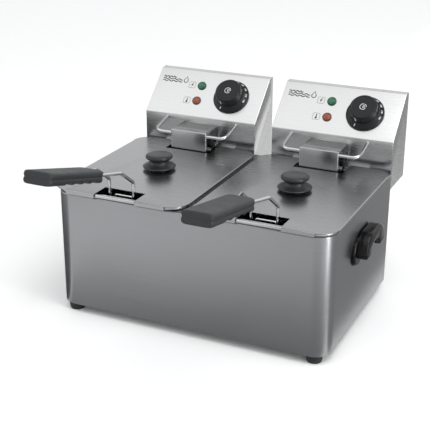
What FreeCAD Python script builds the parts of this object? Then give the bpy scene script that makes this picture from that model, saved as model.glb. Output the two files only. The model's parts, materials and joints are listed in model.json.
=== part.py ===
import FreeCAD, Part
import math
import os
import Sketcher

# Twin-tank counter-top deep fryer, modelled in millimetres.
# Frame: +X to the user's right, +Y away from the user, +Z up. The origin lies on the floor,
# under the centre of the whole outline.
# Sub-parts are drawn in local frames whose y is 0 at the case's front wall and whose z is 0 on
# the floor; x is 0 at the middle of the case, of a tank or of a head, as their seat says.

DRIVING_SIZES = {
    # Case
    "case_width": 400,
    "case_depth": 264,
    "case_bottom": 12,
    "case_top": 178.5,
    "case_corner": 25,
    "case_front_y": -84.352,
    "sheet": 1,
    "deck_rear": 263,
    "foot_spread": 179.5,
    "foot_front": 14,
    "foot_rear": 250,
    "foot_top_r": 12,
    "foot_base_r": 10,
    # Carrying handles on the side walls
    "grab_centre_y": 137,
    "grab_centre_z": 121,
    "grab_pitch": 60,
    "grab_disc_r": 19,
    "grab_disc_thick": 4.5,
    "grab_reach": 14,
    "grab_leg_low": 114,
    "grab_arch_low": 129,
    "grab_arch_top": 146,
    "grab_half_length": 41,
    "grab_gap_half": 19,
    "grab_screw_r": 2,
    # Tanks
    "tank_offset": 103.5,
    "tank_half_width": 86,
    "tank_front": 11,
    "tank_rear": 247,
    "tank_floor": 40,
    "tank_corner": 24,
    "tank_floor_fillet": 14,
    "rim_half_width": 97.5,
    "rim_front": -0.5,
    "rim_rear": 255.5,
    "rim_bead_r": 2.6,
    "rim_corner": 24,
    "rim_lift": 0.3,
    # Lids
    "lid_half_width": 100,
    "lid_front": -3,
    "lid_rear": 259,
    "lid_top": 185.4,
    "lid_corner": 25,
    "lid_skirt": 5,
    "front_notch_half": 31,
    "front_notch_rear": 29,
    "rear_notch_half": 37,
    "rear_notch_front": 219,
    "lid_knob_y": 128,
    # Baskets
    "basket_half_width": 78,
    "basket_front": 30,
    "basket_rear": 204,
    "basket_floor": 68,
    "basket_rim_z": 166,
    "basket_corner": 20,
    "basket_wall": 2,
    "basket_rim_r": 2.4,
    "basket_wire_r": 2,
    "loop_wire_r": 1.4,
    "handle_leg_x": 18.5,
    "handle_leg_y": 19,
    "handle_knee_z": 203,
    "handle_shoulder_y": -13,
    "handle_shoulder_z": 226,
    "grip_wire_x": 8.5,
    "grip_width": 40,
    "grip_length": 123,
    "grip_half_height": 8.2,
    "grip_left_y": -55,
    "grip_left_z": 234.5,
    "grip_left_angle": 16.1,
    "grip_right_y": -56.5,
    "grip_right_z": 232,
    "grip_right_angle": 10.8,
    # Heads
    "head_offset": 106.5,
    "head_width": 185.5,
    "head_front": 266.6,
    "head_rear": 337,
    "head_bottom": 154,
    "panel_low": 225,
    "panel_length": 82.3,
    "panel_angle": 43.7,
    "hook_half_width": 60,
    # Panel fittings, placed across and up the slanted panel
    "dial_across": 40.8,
    "dial_up": 41,
    "dial_skirt_r": 28.3,
    "dial_cap_r": 21,
    "dial_height": 21,
    "shaft_r": 3,
    "bush_r": 5,
    "lamp_across": -14.1,
    "lamp_power_up": 55.3,
    "lamp_heat_up": 28,
    "lamp_r": 7,
    "lamp_body_r": 5.8,
    # Rear fittings
    "button_across": -50,
    "button_z": 190,
    "button_r": 4,
    "gland_across": 58,
    "gland_z": 180,
    "gland_r": 9,
    # Cover over the element's legs, and the wire that drained baskets hang on
    "cover_half_width": 29.5,
    "cover_front": 222,
    "cover_top": 215,
    "cover_low": 92,
    "cover_step_y": 241,
    "cover_step_z": 186.5,
    "plug_r": 8.5,
    "plug_y": 237,
    "plug_z": 198,
    "plug_reach": 7,
    "bar_half_width": 58,
    "bar_y": 226.5,
    "bar_z": 208.5,
    "bar_root_z": 220,
    "bar_r": 2.5,
    # Heating element and sensors
    "element_r": 4,
    "element_z": 56,
    "element_leg_x": 14,
    "element_leg_y": 235,
    "element_leg_z": 200,
    "bulb_r": 3,
    "capillary_r": 1,
}


class Size:
    """A length known as a number and as the spreadsheet expression that gives it."""

    def __init__(self, text, value):
        self.text = text
        self.value = float(value)

    def __add__(self, other):
        other = as_size(other)
        return Size(f"({self.text} + {other.text})", self.value + other.value)

    def __sub__(self, other):
        other = as_size(other)
        return Size(f"({self.text} - {other.text})", self.value - other.value)

    def __mul__(self, other):
        other = as_size(other)
        return Size(f"({self.text} * {other.text})", self.value * other.value)

    def __truediv__(self, other):
        other = as_size(other)
        return Size(f"({self.text} / {other.text})", self.value / other.value)

    def __neg__(self):
        return Size(f"(-1 * {self.text})", -self.value)

    def __radd__(self, other):
        return as_size(other) + self

    def __rsub__(self, other):
        return as_size(other) - self

    def __rmul__(self, other):
        return as_size(other) * self


def as_size(thing):
    """The thing itself if it is a Size, or a plain number as one."""
    return thing if isinstance(thing, Size) else Size(f"{float(thing):.6f}", thing)


document = FreeCAD.newDocument("deep_fryer")
table = document.addObject("Spreadsheet::Sheet", "sizes")
for row, (alias, number) in enumerate(DRIVING_SIZES.items(), start=1):
    table.set(f"A{row}", alias)
    table.set(f"B{row}", str(number))
    table.setAlias(f"B{row}", alias)
document.recompute()


def size(alias):
    """The driving size with that alias, read from the spreadsheet."""
    return Size(f"sizes.{alias}", table.get(alias))


PANEL_ANGLE = size("panel_angle")
PANEL_COS = Size("cos(sizes.panel_angle * 1 deg)", math.cos(math.radians(PANEL_ANGLE.value)))
PANEL_SIN = Size("sin(sizes.panel_angle * 1 deg)", math.sin(math.radians(PANEL_ANGLE.value)))
SHEET = size("sheet")
SIDES = {"left": -1, "right": 1}
TOUCH = 0.02  # clearance between pieces that are fitted together

nodes = {}


# ---------------------------------------------------------------- sketches and features

def vector(point):
    return FreeCAD.Vector(point[0].value, point[1].value, 0)


def new_body(label):
    body = document.addObject("PartDesign::Body", label)
    body.Label = label
    return body


def new_sketch(body, role, name, offset=0):
    """An empty sketch on one of the body's own origin planes, moved along its normal."""
    made = body.newObject("Sketcher::SketchObject", name)
    plane = [feature for feature in body.Origin.OriginFeatures if feature.Role == role][0]
    made.AttachmentSupport = [(plane, "")]
    made.MapMode = "FlatFace"
    made.setExpression("AttachmentOffset.Base.z", as_size(offset).text)
    return made


def bind(target, kind, arguments, length):
    """A dimension of the sketch, bound to the spreadsheet."""
    number = target.addConstraint(Sketcher.Constraint(kind, *arguments, length.value))
    target.setExpression(f"Constraints[{number}]", length.text)


def hold(target, geometry, vertex, point):
    """Hold one point of the sketch's geometry at a place measured from the sketch's origin."""
    bind(target, "DistanceX", (-1, 1, geometry, vertex), point[0])
    bind(target, "DistanceY", (-1, 1, geometry, vertex), point[1])


def polygon(target, corners):
    """A closed outline of straight sides."""
    corners = [(as_size(across), as_size(along)) for across, along in corners]
    first = target.GeometryCount
    count = len(corners)
    for index, corner in enumerate(corners):
        following = corners[(index + 1) % count]
        target.addGeometry(Part.LineSegment(vector(corner), vector(following)), False)
    for index, corner in enumerate(corners):
        following = first + (index + 1) % count
        target.addConstraint(Sketcher.Constraint("Coincident", first + index, 2, following, 1))
        hold(target, first + index, 1, corner)


def rectangle(target, low, high):
    """An upright rectangle between two opposite corners."""
    polygon(target, [low, (high[0], low[1]), high, (low[0], high[1])])


def circle(target, centre, radius):
    centre = (as_size(centre[0]), as_size(centre[1]))
    shape = Part.Circle(vector(centre), FreeCAD.Vector(0, 0, 1), as_size(radius).value)
    number = target.addGeometry(shape, False)
    hold(target, number, 3, centre)
    bind(target, "Radius", (number,), as_size(radius))


def rounded_rectangle(target, low, high, radius):
    """A rectangle between two opposite corners, with all four corners rounded alike."""
    x0, y0 = as_size(low[0]), as_size(low[1])
    x1, y1 = as_size(high[0]), as_size(high[1])
    r = as_size(radius)
    normal = FreeCAD.Vector(0, 0, 1)
    runs = [
        ((x0 + r, y0), (x1 - r, y0), (x1 - r, y0 + r), -90),
        ((x1, y0 + r), (x1, y1 - r), (x1 - r, y1 - r), 0),
        ((x1 - r, y1), (x0 + r, y1), (x0 + r, y1 - r), 90),
        ((x0, y1 - r), (x0, y0 + r), (x0 + r, y0 + r), 180),
    ]
    first = target.GeometryCount
    for start, end, centre, angle in runs:
        target.addGeometry(Part.LineSegment(vector(start), vector(end)), False)
        round_corner = Part.Circle(vector(centre), normal, r.value)
        sweep = (math.radians(angle), math.radians(angle + 90))
        target.addGeometry(Part.ArcOfCircle(round_corner, *sweep), False)
    for index in range(8):
        following = first + (index + 1) % 8
        target.addConstraint(Sketcher.Constraint("Tangent", first + index, 2, following, 1))
    for index, kind in ((0, "Horizontal"), (2, "Vertical"), (4, "Horizontal"), (6, "Vertical")):
        target.addConstraint(Sketcher.Constraint(kind, first + index))
    for index in (3, 5, 7):
        target.addConstraint(Sketcher.Constraint("Equal", first + 1, first + index))
    bind(target, "Radius", (first + 1,), r)
    bind(target, "DistanceY", (-1, 1, first, 1), y0)
    bind(target, "DistanceX", (-1, 1, first + 2, 1), x1)
    bind(target, "DistanceY", (-1, 1, first + 4, 1), y1)
    bind(target, "DistanceX", (-1, 1, first + 6, 1), x0)


def pad(body, profile, length, name, reverse=False, both_ways=False):
    made = body.newObject("PartDesign::Pad", name)
    made.Profile = profile
    made.setExpression("Length", as_size(length).text)
    made.Reversed = reverse
    if both_ways:
        made.SideType = "Symmetric"
    document.recompute()
    return made


def check_cut(body, made, before):
    """Stop if a cutting feature took nothing away."""
    document.recompute()
    if made.Shape.Volume > before - 0.01:
        raise RuntimeError(f"{body.Label}: {made.Name} cut nothing")


def pocket(body, profile, length, name, reverse=False, both_ways=False):
    """Cut the profile out of the body, along the sketch's negative normal unless reversed."""
    before = body.Shape.Volume
    made = body.newObject("PartDesign::Pocket", name)
    made.Profile = profile
    made.setExpression("Length", as_size(length).text)
    made.Reversed = reverse
    if both_ways:
        made.SideType = "Symmetric"
    check_cut(body, made, before)
    return made


def revolve(body, profile, name):
    """Turn a profile drawn on the body's XZ plane about its vertical axis."""
    made = body.newObject("PartDesign::Revolution", name)
    made.Profile = profile
    made.ReferenceAxis = (profile, ["V_Axis"])
    made.Angle = 360
    document.recompute()
    return made


def edges_where(shape, rule):
    """Names of the shape's edges that the rule picks."""
    return [f"Edge{number}" for number, edge in enumerate(shape.Edges, start=1) if rule(edge)]


def fillet(body, rule, radius, name):
    """Round the edges of the body's newest feature that the rule picks."""
    base = body.Tip
    picked = edges_where(base.Shape, rule)
    if not picked:
        raise RuntimeError(f"{body.Label}: {name} found no edge")
    made = body.newObject("PartDesign::Fillet", name)
    made.Base = (base, picked)
    made.setExpression("Radius", as_size(radius).text)
    document.recompute()
    return made


def is_upright(edge):
    box = edge.BoundBox
    return box.XLength < 0.01 and box.YLength < 0.01 and box.ZLength > 0.01


def lies_at(edge, axis, place):
    """Whether the whole edge lies on the plane at that place along an axis."""
    box = edge.BoundBox
    low, high = getattr(box, axis + "Min"), getattr(box, axis + "Max")
    return abs(low - place.value) < 0.01 and abs(high - place.value) < 0.01


# ---------------------------------------------------------------- bent wire and tube

def point(across, back, up):
    return FreeCAD.Vector(as_size(across).value, as_size(back).value, as_size(up).value)


def bent_path(points, bend):
    """Straight runs through the points, joined by tangent arcs of radius bend."""
    edges = []
    start = points[0]
    for before, corner, after in zip(points, points[1:], points[2:]):
        inward = FreeCAD.Vector(before - corner).normalize()
        outward = FreeCAD.Vector(after - corner).normalize()
        half = inward.getAngle(outward) / 2
        reach = bend / math.tan(half)
        towards_centre = FreeCAD.Vector(inward + outward).normalize()
        centre = corner + towards_centre * (bend / math.sin(half))
        arc_start = corner + inward * reach
        arc_end = corner + outward * reach
        edges.append(Part.LineSegment(start, arc_start))
        edges.append(Part.Arc(arc_start, centre - towards_centre * bend, arc_end))
        start = arc_end
    edges.append(Part.LineSegment(start, points[-1]))
    return Part.Wire([edge.toShape() for edge in edges])


def round_bar(path, radius):
    """A solid bar of round section along a path."""
    first = path.OrderedEdges[0]
    start = first.valueAt(first.FirstParameter)
    direction = first.tangentAt(first.FirstParameter)
    section = Part.Wire([Part.Circle(start, direction, radius).toShape()])
    bar = path.makePipeShell([section], True, False)
    expected = math.pi * radius * radius * path.Length
    if not bar.isValid() or abs(bar.Volume / expected - 1) > 0.02:
        raise RuntimeError(f"bar of radius {radius} is not its section times its length")
    return bar


def ring_path(half_width, front, rear, height, corner):
    """A level closed loop: a rectangle with rounded corners."""
    middle = point(0, front, height)
    corners = [
        point(half_width, front, height),
        point(half_width, rear, height),
        point(-half_width, rear, height),
        point(-half_width, front, height),
    ]
    return bent_path([middle] + corners + [middle], corner)


def shape_feature(label, shape):
    made = document.addObject("Part::Feature", label)
    made.Label = label
    made.Shape = shape
    return made


# ---------------------------------------------------------------- placing sub-parts

def seat(made, x=0, y=None, z=0):
    """Put a finished sub-part in the object's frame and enter it under its label."""
    base = (as_size(x), size("case_front_y") if y is None else as_size(y), as_size(z))
    for axis, length in zip("xyz", base):
        made.setExpression(f"Placement.Base.{axis}", length.text)
    nodes[made.Label] = made


def seat_turned(made, x, y, z, axis, angle):
    """As seat, for a sub-part drawn in a frame of its own that is turned about an axis."""
    made.Placement = FreeCAD.Placement(FreeCAD.Vector(), FreeCAD.Rotation(axis, angle.value))
    made.setExpression("Placement.Rotation.Angle", angle.text)
    seat(made, x, size("case_front_y") + y, z)


def seat_on_panel(made, side, across, up):
    """Seat a sub-part whose local +Z stands out of the slanted panel."""
    y = size("head_front") + up * PANEL_COS
    z = size("panel_low") + up * PANEL_SIN
    x = SIDES[side] * size("head_offset") + across
    seat_turned(made, x, y, z, FreeCAD.Vector(1, 0, 0), PANEL_ANGLE)


# ---------------------------------------------------------------- case

def make_case_wrap():
    """Front and side walls, bent from one sheet."""
    half = size("case_width") / 2
    top, bottom = size("case_top"), size("case_bottom")
    depth, corner = size("case_depth"), size("case_corner")
    body = new_body("case_wrap")
    outside = new_sketch(body, "XY_Plane", "wrap_outside", bottom)
    rectangle(outside, (-half, 0), (half, depth))
    pad(body, outside, top - bottom, "wrap_block")
    fillet(body, lambda edge: is_upright(edge) and edge.BoundBox.YMax < 1, corner, "wrap_bends")
    inside = new_sketch(body, "XY_Plane", "wrap_inside", top)
    past_rear = depth + 2 * corner
    rounded_rectangle(inside, (-half + SHEET, SHEET), (half - SHEET, past_rear), corner - SHEET)
    pocket(body, inside, top - bottom, "wrap_hollow")
    holes = new_sketch(body, "YZ_Plane", "handle_holes")
    for end in (-1, 1):
        hole_y = size("grab_centre_y") + end * size("grab_pitch") / 2
        circle(holes, (hole_y, size("grab_centre_z")), size("grab_screw_r") + 0.2)
    pocket(body, holes, size("case_width") + 10, "handle_hole_cuts", both_ways=True)
    seat(body)


def make_top_deck():
    """Top plate, with an opening for each tank and a slot for each head's hook."""
    half = size("case_width") / 2 - SHEET
    rear = size("deck_rear")
    body = new_body("top_deck")
    outside = new_sketch(body, "XY_Plane", "deck_outside", size("case_top") - SHEET)
    rectangle(outside, (-half, SHEET), (half, rear))
    pad(body, outside, SHEET, "deck_plate")
    fillet(body, lambda edge: is_upright(edge) and edge.BoundBox.YMax < 2,
           size("case_corner") - SHEET, "deck_corners")
    slack = 2
    openings = new_sketch(body, "XY_Plane", "deck_openings", size("case_top"))
    for sign in SIDES.values():
        middle = sign * size("tank_offset")
        reach = size("tank_half_width") + slack
        low = (middle - reach, size("tank_front") - slack)
        high = (middle + reach, size("tank_rear") + slack)
        rounded_rectangle(openings, low, high, size("tank_corner"))
    pocket(body, openings, SHEET, "deck_opening_cuts")
    slots = new_sketch(body, "XY_Plane", "deck_slots", size("case_top"))
    for sign in SIDES.values():
        middle = sign * size("head_offset")
        reach = size("hook_half_width") + slack
        rectangle(slots, (middle - reach, rear - 4.6), (middle + reach, rear - 0.4))
    pocket(body, slots, SHEET, "deck_slot_cuts")
    seat(body)


def make_rear_panel():
    half = size("case_width") / 2 - SHEET
    body = new_body("rear_panel")
    outline = new_sketch(body, "XZ_Plane", "panel_outline", -size("case_depth"))
    rectangle(outline, (-half, size("case_bottom") + SHEET), (half, size("case_top")))
    pad(body, outline, SHEET, "panel_plate")
    seat(body)


def make_base_plate():
    """Bottom plate with rows of vent slots."""
    half = size("case_width") / 2 - SHEET
    body = new_body("base_plate")
    outside = new_sketch(body, "XY_Plane", "base_outside", size("case_bottom"))
    rectangle(outside, (-half, SHEET), (half, size("case_depth")))
    pad(body, outside, SHEET, "base_sheet")
    fillet(body, lambda edge: is_upright(edge) and edge.BoundBox.YMax < 2,
           size("case_corner") - SHEET, "base_corners")
    vents = new_sketch(body, "XY_Plane", "base_vents", size("case_bottom") + SHEET)
    for row in range(-3, 4):
        middle = row * 40.0
        for start in (70, 150):
            rectangle(vents, (middle - 2.5, start), (middle + 2.5, start + 50))
    pocket(body, vents, SHEET, "base_vent_cuts")
    seat(body)


def make_feet():
    """Four tapered rubber feet under the case's corners."""
    cones = []
    for sign in SIDES.values():
        for place in ("foot_front", "foot_rear"):
            cone = document.addObject("Part::Cone", "foot")
            cone.setExpression("Radius1", size("foot_base_r").text)
            cone.setExpression("Radius2", size("foot_top_r").text)
            cone.setExpression("Height", size("case_bottom").text)
            cone.setExpression("Placement.Base.x", (sign * size("foot_spread")).text)
            cone.setExpression("Placement.Base.y", size(place).text)
            cones.append(cone)
    feet = document.addObject("Part::Compound", "feet")
    feet.Label = "feet"
    feet.Links = cones
    seat(feet)


def make_side_handle(side):
    """Moulded carrying handle: two round feet and an arch that the fingers go under."""
    pitch, centre_z = size("grab_pitch"), size("grab_centre_z")
    thick, reach = size("grab_disc_thick"), size("grab_reach")
    half, gap = size("grab_half_length"), size("grab_gap_half")
    low, arch_low, top = size("grab_leg_low"), size("grab_arch_low"), size("grab_arch_top")
    body = new_body(f"side_handle_{side}")
    discs = new_sketch(body, "YZ_Plane", "handle_discs")
    for end in (-1, 1):
        circle(discs, (end * pitch / 2, centre_z), size("grab_disc_r"))
    pad(body, discs, thick, "handle_feet")
    arch = new_sketch(body, "YZ_Plane", "handle_arch", thick - 1)
    polygon(arch, [(-half + 3, low), (-gap - 3, low), (-gap, low + 5), (-gap + 6, arch_low),
                   (gap - 6, arch_low), (gap, low + 5), (gap + 3, low), (half - 3, low),
                   (half, low + 6), (half - 5, low + 21), (half - 19, top),
                   (-half + 19, top), (-half + 5, low + 21), (-half, low + 6)])
    pad(body, arch, reach + 1, "handle_grip")
    front = thick + reach
    fillet(body, lambda edge: lies_at(edge, "X", front), 3.5, "handle_edges")
    bores = new_sketch(body, "YZ_Plane", "handle_bores")
    for end in (-1, 1):
        circle(bores, (end * pitch / 2, centre_z), size("grab_screw_r") + TOUCH)
    pocket(body, bores, 12, "handle_bore_cuts", reverse=True)
    turn = Size("0", 0) if side == "right" else Size("180", 180)
    wall = SIDES[side] * size("case_width") / 2
    seat_turned(body, wall, size("grab_centre_y"), 0, FreeCAD.Vector(0, 0, 1), turn)


def make_handle_screws():
    """Two screws for each carrying handle, driven from inside the case."""
    parts = []
    inner_wall = size("case_width") / 2 - SHEET
    for sign in SIDES.values():
        for end in (-1, 1):
            centre_y = size("grab_centre_y") + end * size("grab_pitch") / 2
            for name, radius, start, length in (("shank", size("grab_screw_r"), 0, 12),
                                                ("screw_head", Size("3.8", 3.8), -2.4, 2.4)):
                piece = document.addObject("Part::Cylinder", name)
                piece.setExpression("Radius", radius.text)
                piece.Height = length
                piece.Placement.Rotation = FreeCAD.Rotation(FreeCAD.Vector(0, 1, 0), 90 * sign)
                piece.setExpression("Placement.Base.x", (sign * (inner_wall + start)).text)
                piece.setExpression("Placement.Base.y", centre_y.text)
                piece.setExpression("Placement.Base.z", size("grab_centre_z").text)
                parts.append(piece)
    pairs = []
    for shank, head in zip(parts[0::2], parts[1::2]):
        screw = document.addObject("Part::Fuse", "handle_screw")
        screw.Base = shank
        screw.Tool = head
        pairs.append(screw)
    screws = document.addObject("Part::Compound", "handle_screws")
    screws.Label = "handle_screws"
    screws.Links = pairs
    seat(screws)


# ---------------------------------------------------------------- tank, lid and basket

def make_tank(side):
    """Deep-drawn oil tank that hangs in the deck by its flange, with a rolled rim."""
    half, corner = size("tank_half_width"), size("tank_corner")
    front, rear, floor = size("tank_front"), size("tank_rear"), size("tank_floor")
    bead_r = size("rim_bead_r")
    bead_z = size("case_top") + size("rim_lift") + bead_r
    flange_top = bead_z + SHEET / 2
    rim_half = size("rim_half_width") - bead_r
    rim_front, rim_rear = size("rim_front") + bead_r, size("rim_rear") - bead_r
    body = new_body(f"tank_{side}_pan")
    wall = new_sketch(body, "XY_Plane", "tank_wall", floor)
    rounded_rectangle(wall, (-half, front), (half, rear), corner)
    pad(body, wall, flange_top - floor, "tank_block")
    flange = new_sketch(body, "XY_Plane", "tank_flange", flange_top - SHEET)
    rounded_rectangle(flange, (-rim_half, rim_front), (rim_half, rim_rear), size("rim_corner"))
    pad(body, flange, SHEET, "tank_flange_plate")
    hollow = new_sketch(body, "XY_Plane", "tank_hollow", flange_top)
    rounded_rectangle(hollow, (-half + SHEET, front + SHEET), (half - SHEET, rear - SHEET),
                      corner - SHEET)
    pocket(body, hollow, flange_top - floor - SHEET, "tank_inside")

    def inner_sole(edge):
        return lies_at(edge, "Z", floor + SHEET)
    fillet(body, inner_sole, size("tank_floor_fillet") - SHEET, "tank_inner_sole")
    fillet(body, lambda edge: lies_at(edge, "Z", floor), size("tank_floor_fillet"), "tank_sole")
    ring = ring_path(rim_half, rim_front, rim_rear, bead_z, size("rim_corner").value)
    bead = document.addObject("Part::Feature", "tank_bead")
    bead.Shape = round_bar(ring, bead_r.value)
    tank = document.addObject("Part::Fuse", f"tank_{side}")
    tank.Label = f"tank_{side}"
    tank.Base = body
    tank.Tool = bead
    seat(tank, SIDES[side] * size("tank_offset"))


def make_lid(side):
    """Sheet lid: skirts on three sides, open at the round corners, and two notches."""
    half, corner = size("lid_half_width"), size("lid_corner")
    front, rear, top = size("lid_front"), size("lid_rear"), size("lid_top")
    under = top - SHEET
    notch_half, notch_rear = size("front_notch_half"), size("front_notch_rear")
    body = new_body(f"lid_{side}")
    plate = new_sketch(body, "XY_Plane", "lid_outline", under)
    rounded_rectangle(plate, (-half, front), (half, rear), corner)
    pad(body, plate, SHEET, "lid_plate")
    skirts = new_sketch(body, "XY_Plane", "lid_skirts", under + SHEET / 2)
    for sign in SIDES.values():
        outer, inner = sign * half, sign * (half - SHEET)
        rectangle(skirts, (outer, front + corner), (inner, rear - corner - 2))
        rectangle(skirts, (sign * notch_half, front), (sign * (half - corner), front + SHEET))
    pad(body, skirts, size("lid_skirt") + SHEET / 2, "lid_skirt_walls", reverse=True)
    notches = new_sketch(body, "XY_Plane", "lid_notches", top)
    rear_half, rear_notch = size("rear_notch_half"), size("rear_notch_front")
    rectangle(notches, (-notch_half, front - 5), (notch_half, notch_rear))
    rectangle(notches, (-rear_half, rear_notch), (rear_half, rear + 5))
    circle(notches, (0, size("lid_knob_y")), 2.2)
    pocket(body, notches, 3, "lid_notch_cuts")
    seat(body, SIDES[side] * size("tank_offset"))


def make_lid_knob(side):
    """Moulded knob: a flange that keeps the fingers off the lid, a waist and a round top."""
    body = new_body(f"lid_knob_{side}")
    profile = new_sketch(body, "XZ_Plane", "knob_profile")
    bore = 2 + TOUCH
    polygon(profile, [(bore, 0), (13, 0), (13, 3.2), (23.6, 3.4), (24, 4.4), (20, 6.4),
                      (16, 9.4), (14, 12.4), (14.6, 14.8), (18.6, 16.2), (19.5, 18), (19, 20.8),
                      (15.5, 22.4), (0, 22.8), (0, 12), (bore, 12)])
    revolve(body, profile, "knob_body")
    y = size("case_front_y") + size("lid_knob_y")
    seat(body, SIDES[side] * size("tank_offset"), y, size("lid_top"))


def make_lid_screw(side):
    """Screw and washer that hold the knob, from under the lid."""
    body = new_body(f"lid_screw_{side}")
    profile = new_sketch(body, "XZ_Plane", "screw_profile")
    under = -SHEET
    polygon(profile, [(0, under - 3), (3.5, under - 2.6), (3.8, under - 1), (6.5, under - 1),
                      (6.5, under), (2, under), (2, 11.5), (0, 11.5)])
    revolve(body, profile, "screw_body")
    y = size("case_front_y") + size("lid_knob_y")
    seat(body, SIDES[side] * size("tank_offset"), y, size("lid_top"))


def make_basket_mesh(side):
    """Envelope of the woven wire basket: a thin open shell of its true outer shape."""
    half, corner, wall = size("basket_half_width"), size("basket_corner"), size("basket_wall")
    front, rear, floor = size("basket_front"), size("basket_rear"), size("basket_floor")
    top = size("basket_rim_z") - size("basket_rim_r")
    body = new_body(f"basket_mesh_{side}")
    outside = new_sketch(body, "XY_Plane", "basket_outside", floor)
    rounded_rectangle(outside, (-half, front), (half, rear), corner)
    pad(body, outside, top - floor, "basket_block")
    inside = new_sketch(body, "XY_Plane", "basket_inside", top)
    rounded_rectangle(inside, (-half + wall, front + wall), (half - wall, rear - wall),
                      corner - wall)
    pocket(body, inside, top - floor - wall, "basket_hollow")
    fillet(body, lambda edge: lies_at(edge, "Z", floor + wall), 6, "basket_inner_sole")
    fillet(body, lambda edge: lies_at(edge, "Z", floor), 8, "basket_sole")
    seat(body, SIDES[side] * size("tank_offset"))


def make_basket_frame(side):
    """Rim wire of the basket, with two rear hooks and a small front loop welded to it."""
    rim_r, rim_z, wire_r = size("basket_rim_r"), size("basket_rim_z"), size("basket_wire_r")
    half, front, rear = size("basket_half_width"), size("basket_front"), size("basket_rear")
    rim = round_bar(ring_path(half - 1, front + 1, rear - 1, rim_z, size("basket_corner").value),
                    rim_r.value)
    pieces = []
    for sign in SIDES.values():
        x = sign * 44.0
        hook = [point(x, rear - 1, rim_z), point(x, rear + 6, rim_z + 3.6),
                point(x, rear + 15, rim_z + 3.6), point(x, rear + 17, rim_z - 12)]
        pieces.append(round_bar(bent_path(hook, 3), wire_r.value))
    loop_up = rim_z + 4.4
    loop = [point(-14, front + 1, rim_z), point(-14, front + 5, loop_up),
            point(14, front + 5, loop_up), point(14, front + 1, rim_z)]
    pieces.append(round_bar(bent_path(loop, 2.5), size("loop_wire_r").value))
    frame = shape_feature(f"basket_frame_{side}", rim.fuse(pieces))
    seat(frame, SIDES[side] * size("tank_offset"))


def grip_frame(side):
    """Inner end of the grip in the tank's frame, and the grip's slope in degrees."""
    y, z = size(f"grip_{side}_y"), size(f"grip_{side}_z")
    return y, z, size(f"grip_{side}_angle")


def handle_wire_shape(side):
    """One bent wire: up from the basket's front on both sides and joined inside the grip."""
    leg_x, leg_y, wire_r = size("handle_leg_x"), size("handle_leg_y"), size("basket_wire_r")
    grip_y, grip_z, angle = grip_frame(side)
    slope = math.radians(angle.value)
    ahead = FreeCAD.Vector(0, -math.cos(slope), math.sin(slope))
    foot_z = 118
    half = []
    for x in (leg_x, -leg_x):
        sign = 1 if x.value > 0 else -1
        inner = point(sign * size("grip_wire_x"), grip_y, grip_z)
        half.append([point(x, size("basket_front") - 0.2, foot_z), point(x, leg_y, foot_z),
                     point(x, leg_y, size("handle_knee_z")),
                     point(x, size("handle_shoulder_y"), size("handle_shoulder_z")),
                     inner + ahead * 4, inner + ahead * 84])
    route = half[0] + list(reversed(half[1]))
    return round_bar(bent_path(route, 5), wire_r.value)


def make_handle_wire(side, shape):
    wire = shape_feature(f"handle_wire_{side}", shape)
    seat(wire, SIDES[side] * size("tank_offset"))


def make_grip_half(side, upper, wire_shape):
    """Upper or lower shell of the grip, drawn with y running back from its tip end."""
    length, height = size("grip_length"), size("grip_half_height")
    label = f"grip_{'top' if upper else 'bottom'}_{side}"
    body = new_body(f"{label}_block")
    profile = new_sketch(body, "YZ_Plane", "grip_profile")
    rise = 1 if upper else -1
    tip, edge = -length, rise * height
    polygon(profile, [(0, rise * 0.1), (0, edge - rise * 3.5), (-9, edge), (tip + 9, edge),
                      (tip, edge - rise * 3), (tip, rise * 0.1)])
    pad(body, profile, size("grip_width"), "grip_bar", both_ways=True)

    def long_outer(edge_line):
        box = edge_line.BoundBox
        outer = abs(abs(box.XMin) - size("grip_width").value / 2) < 0.01
        return outer and box.XLength < 0.01 and abs(box.ZMin + box.ZMax) > 1
    fillet(body, long_outer, 2.6, "grip_edges")
    grip_y, grip_z, angle = grip_frame(side)
    turn = -angle
    body.Placement = FreeCAD.Placement(point(0, grip_y, grip_z),
                                       FreeCAD.Rotation(FreeCAD.Vector(1, 0, 0), turn.value))
    channel = document.addObject("Part::Feature", "grip_channel")
    channel.Shape = wire_shape
    half = document.addObject("Part::Cut", label)
    half.Label = label
    half.Base = body
    half.Tool = channel
    seat(half, SIDES[side] * size("tank_offset"))


# ---------------------------------------------------------------- head

def head_profile(inset):
    """Side outline of a head's folded cover, moved inwards by inset."""
    front, low = size("head_front") + inset, size("panel_low")
    far_y = size("head_front") + size("panel_length") * PANEL_COS
    top = low + size("panel_length") * PANEL_SIN
    bend_z = low + inset * (PANEL_SIN - 1) / PANEL_COS
    ridge_y = far_y + inset * (1 - PANEL_COS) / PANEL_SIN
    return front, bend_z, ridge_y, top - inset


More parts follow.
